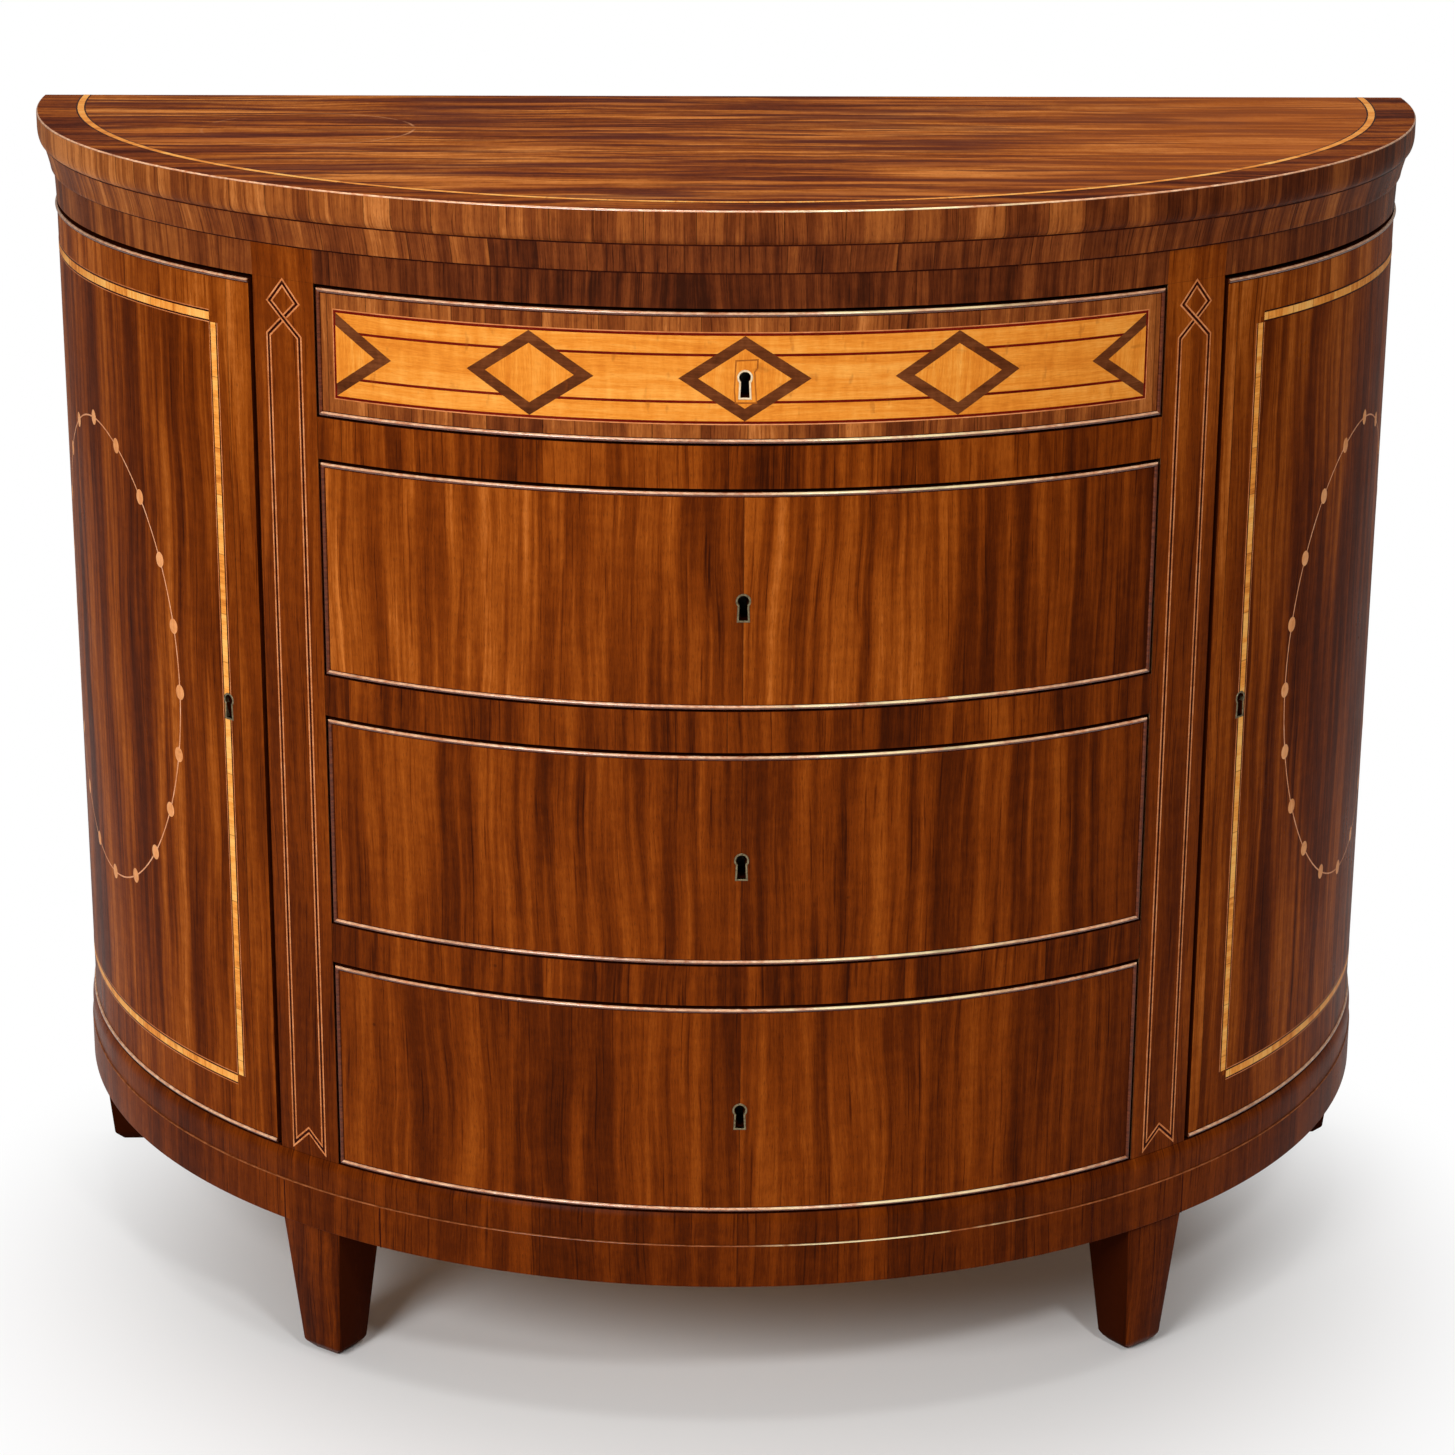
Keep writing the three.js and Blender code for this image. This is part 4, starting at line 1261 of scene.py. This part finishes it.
def make_plinth():
    """The plinth, with the joints at the ends of the front feet's blocks."""
    low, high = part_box("plinth")
    corners = rectangle(PLINTH_PROUD - PLINTH_DEPTH, PLINTH_PROUD, low.z, high.z)
    profile = edge_rounded(corners, PLINTH_ARRIS, sharp=(0, 3))
    band = laid("plinth_band", swept(profile), "base", ["plinth"])
    # The upward faces of the plinth's rounded head take a painted highlight
    repaint(band, ["plinth_arris", "lining"],
            lambda centre, facing: 2 if faces_back(facing) else int(facing.z > PLINTH_ARRIS_FACE))
    section = rectangle(PLINTH_PROUD - LET_IN, PLINTH_PROUD + LAYER, low.z, high.z - PLINTH_ARRIS)
    starts = [side * (STILE_MIDDLE + end) for side in (-1, 1) for end in BLOCK_ENDS]
    laid("plinth_joints", joined([swept(section, start, start + JOINT_WIDTH) for start in starts]), "dark")


def make_uprights():
    """The stiles between drawers and doors, and the posts behind the doors."""
    for name, side in SIDES:
        low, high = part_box(f"{name}_stile")
        corners = [
            (-UPRIGHT_DEPTH, low.z), (0, low.z - STILE_LAP),
            (0, high.z + STILE_LAP), (-UPRIGHT_DEPTH, high.z),
        ]
        rings = []
        for step in range(STILE_STEPS + 1):
            ring = []
            for out, height in corners:
                start = reach(out, OPENING_HALF_WIDTH)
                ring.append((side * (start + (STILE_END - start) * step / STILE_STEPS), -out, height))
            rings.append(ring)
        shade_edges(laid(f"{name}_stile_face", loft(rings), "stile", [f"{name}_stile"]))

        low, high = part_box(f"{name}_rear_post")
        post = swept(rectangle(-UPRIGHT_DEPTH, 0, low.z, high.z), side * POST_START, side * HALF_TURN)
        shade_edges(laid(f"{name}_back_post", post, "stile", [f"{name}_rear_post"]))


def make_rails():
    """The rails between the drawers."""
    for number in (1, 2, 3):
        node = f"drawer_rail_{number}"
        low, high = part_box(node)
        rail = bowed(rectangle(-RAIL_DEPTH, 0, low.z, high.z), high.x)
        shade_edges(laid(f"rail_{number}_face", rail, "case", [node]))


def round_sole(solid):
    """Takes a foot's chamfer further up its sides and further in under its sole."""
    sole = [corner for corner in solid.verts if corner.co.z < SOLE_LEVEL]
    middle = sum((corner.co for corner in sole), Vector()) / len(sole)
    for corner in sole:
        corner.co = middle.lerp(corner.co, SOLE_SHARE)
    for corner in solid.verts:
        above = [edge.other_vert(corner).co for edge in corner.link_edges]
        above = [other for other in above if other.z > FOOT_SHANK]
        if SOLE_LEVEL < corner.co.z < SOLE_EASE and above:
            corner.co = corner.co.lerp(above[0], (SOLE_EASE - corner.co.z) / (above[0].z - corner.co.z))


def make_feet():
    """Each foot is a copy of its solid with its sole rounded and its arrises eased."""
    # The rear feet take the darkened wood of the shut edges all over: painted shade
    for end, finish in (("front", "foot"), ("rear", "edge")):
        for name in ("left", "right"):
            node = f"{name}_{end}_foot"
            solid = bmesh.new()
            solid.from_mesh(frame["nodes"][node].data)
            bmesh.ops.remove_doubles(solid, verts=solid.verts, dist=WELD)
            bmesh.ops.dissolve_limit(solid, angle_limit=FLAT_ANGLE, verts=solid.verts, edges=solid.edges)
            round_sole(solid)
            foot = new_object(f"{node}_block", solid)
            eased = foot.modifiers.new("eased", "BEVEL")
            adjusted(eased, width=ARRIS_EASE, segments=3, limit_method="ANGLE", angle_limit=ARRIS_ANGLE)
            foot = settled(foot)
            foot.data.materials.clear()
            # Sides that do not face outwards take painted shade
            repaint(foot, [finish, "edge"],
                    lambda centre, facing: int(facing.dot(outwards_at(centre)) < FRONT_FACE))
            finish_piece(foot, "case", "mahogany", [node])


# By the end of a solid's name, with or without a number after it
LINING_FINISHES = {
    "back_panel": "back",
    "partition": "upright_lining",
    "dust_board": "lining",
    "_side": "side_lining",
    "_back": "rear_lining",
    "_bottom": "lining",
    "_lock": "iron",
    "_pivot": "brass",
}


def finish_linings():
    """The plain boards inside, the locks and the pins keep their solids and get their finish."""
    for name, node in frame["nodes"].items():
        for ending, finish in LINING_FINISHES.items():
            if name.endswith(ending) or name[:-2].endswith(ending):
                node.data.materials.clear()
                node.data.materials.append(FINISH[finish])


# Keyholes and locks

def keyhole_place(node):
    """Where a keyhole liner sits on the unrolled front."""
    low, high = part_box(node)
    middle = (low + high) / 2
    return plan_of(middle)[0], middle.z


def keyhole_cutter(node, grow):
    """The hole for a keyhole, as a flat cutter."""
    outline = keyhole_outline(*keyhole_place(node), grow)
    depths = (-CUTTER_SPARE, BOARD_THICKNESS + CUTTER_SPARE)
    return loft([[(place, depth, up) for place, up in outline] for depth in depths])


def make_liner(node, body):
    """A keyhole's liner, with a rounded rim that stands out a little."""
    section = [
        (0, -LINER_DEPTH), (-LINER_WALL, -LINER_DEPTH), (-LINER_WALL, 0),
        (-LINER_WALL * (1 - LINER_ROUND), LINER_PROUD),
        (-LINER_WALL * LINER_ROUND, LINER_PROUD), (0, LINER_PROUD / 2),
    ]
    rim = run(keyhole_outline(*keyhole_place(node)), section, True)
    laid(f"{node}_rim", rim, "pale_liner" if node.startswith("drawer_1") else "liner", [node], body, "brass")


def make_lock_screws(node, body, angle):
    """Four screws on the inner face of a lock's plate, drawn at the middle and turned into place."""
    axis = Matrix.Translation((0, BACK, 0))
    turn = axis @ Matrix.Rotation(angle, 4, "Z") @ axis.inverted()
    corners = [turn.inverted() @ vertex.co for vertex in frame["nodes"][node].data.vertices]
    rear = max(corner.y for corner in corners)
    plate = [corner for corner in corners if corner.y > rear - PLATE_DEPTH]
    left, right = min(corner.x for corner in plate), max(corner.x for corner in plate)
    low, high = min(corner.z for corner in plate), max(corner.z for corner in plate)
    screws = new_object(f"{node}_screws")
    add_tree(screws, "screws", plate_middle=((left + right) / 2, rear, (low + high) / 2),
             spacing=(right - left - 2 * SCREW_MARGIN, 0, high - low - 2 * SCREW_MARGIN),
             head_radius=SCREW_RADIUS, head_height=SCREW_HEAD, finish=FINISH["brass"])
    screws = settled(screws)
    screws.data.transform(turn)
    finish_piece(screws, body, "brass")


# Drawers

def bead_section():
    """A bead's half-round section over its foot, measured leftwards from its outer edge."""
    section = [(BEAD_WIDTH, -BEAD_FOOT)]
    for step in range(2 * ARC_STEPS + 1):
        turn = math.pi / 2 * step / ARC_STEPS
        section.append((BEAD_WIDTH / 2 * math.cos(turn) + BEAD_WIDTH / 2, BEAD_PROUD * math.sin(turn)))
    return section + [(0, -BEAD_FOOT)]


def quirk_shade_section():
    """Painted shade: a dark line on the inner side of a bead."""
    return rectangle(BEAD_WIDTH, BEAD_WIDTH + QUIRK_SHADE_WIDTH, -LET_IN, LAYER)


def make_drawer_front(number, body):
    """A bowed front with its bead, its keyhole and its lock's screws."""
    node = f"drawer_{number}_front"
    liner = f"drawer_{number}_keyhole_liner"
    low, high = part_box(node)
    foot, head, half_width = low.z + FRONT_EASE, high.z - FRONT_EASE, high.x - FRONT_EASE
    board = bowed(rectangle(-BOARD_THICKNESS, 0, foot, head), half_width)
    front = laid(f"{node}_board", board, f"drawer_{number}", [node], body, hole=liner, grow=0.0)
    shade_edges(front, False, "front_lining")

    half = reach(0, half_width)
    outline = rectangle(-half, half, foot, head)
    bead = laid(f"drawer_{number}_bead", run(outline, bead_section(), True), "bead", body=body)
    # The upright parts of the bead take a darker copy of its wood: painted shade
    repaint(bead, ["upright_bead"],
            lambda centre, facing: int(foot + BEAD_WIDTH < centre.z < head - BEAD_WIDTH))
    laid(f"drawer_{number}_quirk", run(outline, quirk_shade_section(), True), "dark", body=body)
    make_liner(liner, body)
    make_lock_screws(f"drawer_{number}_lock", body, 0)


def lozenges(share):
    """The outlines of the panel's lozenges and the halves at its ends, at a share of their full size."""
    length, height = LOZENGE_HALF_LENGTH * share, LOZENGE_HALF_HEIGHT * share
    low, high = PANEL_MIDDLE - height, PANEL_MIDDLE + height
    shapes = []
    for middle in (-PANEL_HALF_LENGTH / 2, 0, PANEL_HALF_LENGTH / 2):
        shapes.append([
            (middle - length, PANEL_MIDDLE), (middle, low), (middle + length, PANEL_MIDDLE), (middle, high),
        ])
    for side in (-1, 1):
        end = side * PANEL_HALF_LENGTH
        shapes.append([(end, low), (end - side * length, PANEL_MIDDLE), (end, high)])
    return shapes


def make_panel_inlay():
    """The satinwood panel with its lozenges, half lozenges at the ends, and thin strings."""
    body = "top_drawer"
    liner = "drawer_1_keyhole_liner"
    outline = rectangle(-PANEL_HALF_LENGTH, PANEL_HALF_LENGTH, PANEL_LOW, PANEL_HIGH)
    for name, width, layer, finish, slot in (
        ("panel_pale_edge", PANEL_EDGE_DARK + PANEL_EDGE_PALE, 1, "pale_edge", "boxwood"),
        ("panel_dark_edge", PANEL_EDGE_DARK, 2, "red", "mahogany"),
    ):
        section = rectangle(-width, PANEL_EDGE_LAP, -LET_IN, layer * LAYER)
        laid(name, run(outline, section, True), finish, (), body, slot)
    for name, shapes, layer, finish, slot in (
        ("panel_field", [outline], 3, "satin", "satinwood"),
        ("lozenge_bands", lozenges(1), 5, "brown", "mahogany"),
        ("lozenge_fields", lozenges(LOZENGE_INNER_SHARE), 6, "lozenge", "satinwood"),
    ):
        laid(name, joined([patch(shape, layer) for shape in shapes]), finish, (), body, slot, hole=liner)

    lap = LOZENGE_HALF_LENGTH * PANEL_STRING_LAP
    stops = [PANEL_HALF_LENGTH * share for share in (-1, -0.5, 0, 0.5, 1)]
    strings = []
    for start, end in zip(stops, stops[1:]):
        for height in (PANEL_MIDDLE - PANEL_STRING_OFFSET, PANEL_MIDDLE + PANEL_STRING_OFFSET):
            path = [(start + lap, height), (end - lap, height)]
            strings.append(run(path, flat_strip(PANEL_STRING_WIDTH, 4)))
    laid("panel_strings", joined(strings), "red", body=body)
    along, height = keyhole_place(liner)
    path = [(along + across, height + up) for across, up in OLD_FITTING]
    laid("old_fitting_outline", run(path, flat_strip(OLD_FITTING_LINE, 7), True), "glue", body=body)


# Stringing on the stiles

def make_stile_strings():
    """One string that runs up each stile and crosses itself in a small loop."""
    for name, side in SIDES:
        middle = side * STILE_MIDDLE
        left, right = middle - FRAME_HALF_WIDTH, middle + FRAME_HALF_WIDTH
        crossing = [(middle - LOOP_HALF_WIDTH, LOOP_SIDE), (right, LOOP_SHOULDER)]
        path = [
            (left, FRAME_FOOT), (left, LOOP_SHOULDER), (middle + LOOP_HALF_WIDTH, LOOP_SIDE),
            (middle, LOOP_HEAD), *crossing, (right, FRAME_FOOT), (middle, FRAME_PEAK),
        ]
        over = [Vector(crossing[0]).lerp(Vector(crossing[1]), share)[:] for share in OVERLAP]
        for part, width, layer, finish, slot in (
            ("pale", STRING_WIDTH, 1, "pale_edge", "boxwood"),
            ("dark", STRING_CORE, 2, "dark", "mahogany"),
        ):
            strips = [run(path, flat_strip(width, layer), True), run(over, flat_strip(width, layer + 2))]
            laid(f"{name}_stile_string_{part}", joined(strips), finish, slot=slot)


# Doors

def door_rings(side, low, high):
    """A door's plan, ring by ring, from its front edge to its rear edge, which is round."""
    plan = [(along, 0) for along in stations(DOOR_START, PIN_PLACE)]
    for turn in QUARTER[1:-1]:
        plan.append((PIN_PLACE + PIN_INSET * math.sin(turn), PIN_INSET * (1 - math.cos(turn))))
    return [
        [(side * along, inwards, height) for inwards, height in (
            (BOARD_THICKNESS, low), (depth, low), (depth, high), (BOARD_THICKNESS, high))]
        for along, depth in plan
    ]


def make_door(name, side):
    """A curved door with its beads, inlay, keyhole and lock's screws."""
    body = f"{name}_cupboard_door"
    node = f"{name}_door"
    liner = f"{name}_door_keyhole_liner"
    low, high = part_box(node)
    foot, head = low.z, high.z - DOOR_HEAD_EASE
    board = loft(door_rings(side, foot, head))
    door = laid(f"{node}_board", board, "door_border", [node], body, hole=liner, grow=0.0)
    shade_edges(door, False, "front_lining")

    stop = PIN_PLACE - DOOR_BEAD_STOP
    edges = ([(stop, foot), (DOOR_START, foot)], [(DOOR_START, head), (stop, head)])
    for part, section, finish in (("bead", bead_section(), "bead"), ("quirk", quirk_shade_section(), "dark")):
        section = [(-side * left, out) for left, out in section]
        strips = joined([run(mirrored(edge, side), section) for edge in edges])
        laid(f"{name}_door_{part}", strips, finish, body=body)

    outline = rectangle(BANDING_START, BANDING_END, BANDING_LOW, BANDING_HIGH)
    laid(f"{name}_door_panel", patch(mirrored(outline, side), 1), "door_panel", body=body, hole=liner)
    make_banding(name, side, body, liner)
    make_oval(name, side, body)
    make_liner(liner, body)
    make_lock_screws(f"{name}_door_lock", body, keyhole_place(liner)[0] / FACE)


def make_banding(name, side, body, liner):
    """Four strips round the panel, with a small square of mahogany left in each corner."""
    low, high = BANDING_LOW + BANDING_CORNER, BANDING_HIGH - BANDING_CORNER
    start, end = BANDING_START + BANDING_CORNER, BANDING_END - BANDING_CORNER
    uprights = [[(along, low), (along, high)] for along in (BANDING_START, BANDING_END)]
    levels = [[(start, height), (end, height)] for height in (BANDING_LOW, BANDING_HIGH)]
    dark_width = BANDING_WIDTH + 2 * BANDING_DARK
    for part, paths, width, layer, finish, slot in (
        ("pale_edge", uprights + levels, dark_width + 2 * BANDING_PALE, 2, "pale_edge", "boxwood"),
        ("dark_edge", uprights + levels, dark_width, 3, "dark", "mahogany"),
        ("upright", uprights, BANDING_WIDTH, 4, "gold_upright", "satinwood"),
        ("level", levels, BANDING_WIDTH, 4, "gold_level", "satinwood"),
    ):
        strips = [run(mirrored(path, side), flat_strip(width, layer)) for path in paths]
        laid(f"{name}_banding_{part}", joined(strips), finish, (), body, slot, hole=liner)


def make_oval(name, side, body):
    """Boxwood dots on a thin string, in an upright oval."""
    places = {
        "middle": side * OVAL_MIDDLE, "height": OVAL_HEIGHT,
        "half_width": OVAL_HALF_WIDTH * -side, "half_height": OVAL_HALF_HEIGHT,
    }
    for part, finish, sizes in (
        ("oval_string", "boxwood", {"string_width": OVAL_STRING_WIDTH, "flatness": OVAL_STRING_FLATNESS}),
        ("oval_dots", "dots", {"count": OVAL_DOTS, "dot_size": DOT_SIZE}),
    ):
        piece = new_object(f"{name}_{part}")
        add_tree(piece, part, finish=FINISH[finish], **places, **sizes)
        lay_round(piece, finish)
        finish_piece(settled(piece), body, "boxwood")


# Floor, light and camera

def make_floor():
    """A pale floor, which keeps the shadow near the chest and is plain white further off."""
    solid = bmesh.new()
    bmesh.ops.create_grid(solid, x_segments=1, y_segments=1, size=FLOOR_SIZE)
    floor = new_object("floor", solid)
    material, tree, shader = new_material("pale_floor")
    fill(tree, shader, {"Base Color": FLOOR_COLOUR, "Roughness": 0.9, "Specular IOR Level": 0.1})
    plain = put(tree, "ShaderNodeEmission", {"Color": (1, 1, 1, 1), "Strength": 1.0})
    away = put(tree, "ShaderNodeVectorMath", {0: object_vector(tree)}, operation="LENGTH")["Value"]
    seen = put(tree, "ShaderNodeLightPath")["Is Camera Ray"]
    share = between(away, *SHADOW_REACH) * seen
    both = put(tree, "ShaderNodeMixShader", {0: share, 1: Outputs(tree, shader)[0], 2: plain[0]})
    fill(tree, tree.nodes["Material Output"], {"Surface": both[0]})
    floor.data.materials.append(material)


def make_light():
    """Soft light from the left, a smaller lamp at the right and one above."""
    world = bpy.data.worlds.new("studio")
    world.use_nodes = True
    background = world.node_tree.nodes["Background"]
    fill(world.node_tree, background, {"Color": SKY_COLOUR, "Strength": SKY_STRENGTH})
    bpy.context.scene.world = world
    for name, place, height, size, power in LAMPS:
        lamp = adjusted(bpy.data.lights.new(name, "AREA"), shape="DISK", size=size, energy=power)
        made = linked(name, lamp)
        made.location = place
        made.rotation_euler = (Vector((0, 0, height)) - Vector(place)).to_track_quat("-Z", "Y").to_euler()


def make_camera():
    """The photo's own camera."""
    yaw, pitch, roll = (math.radians(turn) for turn in (CAMERA_YAW, CAMERA_PITCH, CAMERA_ROLL))
    camera = adjusted(bpy.data.cameras.new("camera"), sensor_width=SENSOR_WIDTH, lens=LENS)
    forward = Vector((math.sin(yaw) * math.cos(pitch), math.cos(yaw) * math.cos(pitch), -math.sin(pitch)))
    level = Vector((math.cos(yaw), -math.sin(yaw), 0))
    down = forward.cross(level)
    right = level * math.cos(roll) + down * math.sin(roll)
    lower = down * math.cos(roll) - level * math.sin(roll)
    made = linked("camera", camera)
    turned = Matrix((right, -lower, -forward)).transposed().to_4x4()
    made.matrix_world = Matrix.Translation(CAMERA_PLACE) @ turned
    bpy.context.scene.camera = made


make_top()
make_top_band()
make_cornice()
make_boards()
make_plinth()
make_uprights()
make_rails()
make_feet()
finish_linings()
for drawer_number, drawer_body in enumerate(DRAWER_BODIES, 1):
    make_drawer_front(drawer_number, drawer_body)
make_panel_inlay()
make_stile_strings()
for door_name, door_side in SIDES:
    make_door(door_name, door_side)
make_floor()
make_light()
make_camera()

bpy.context.scene.view_settings.view_transform = "Standard"
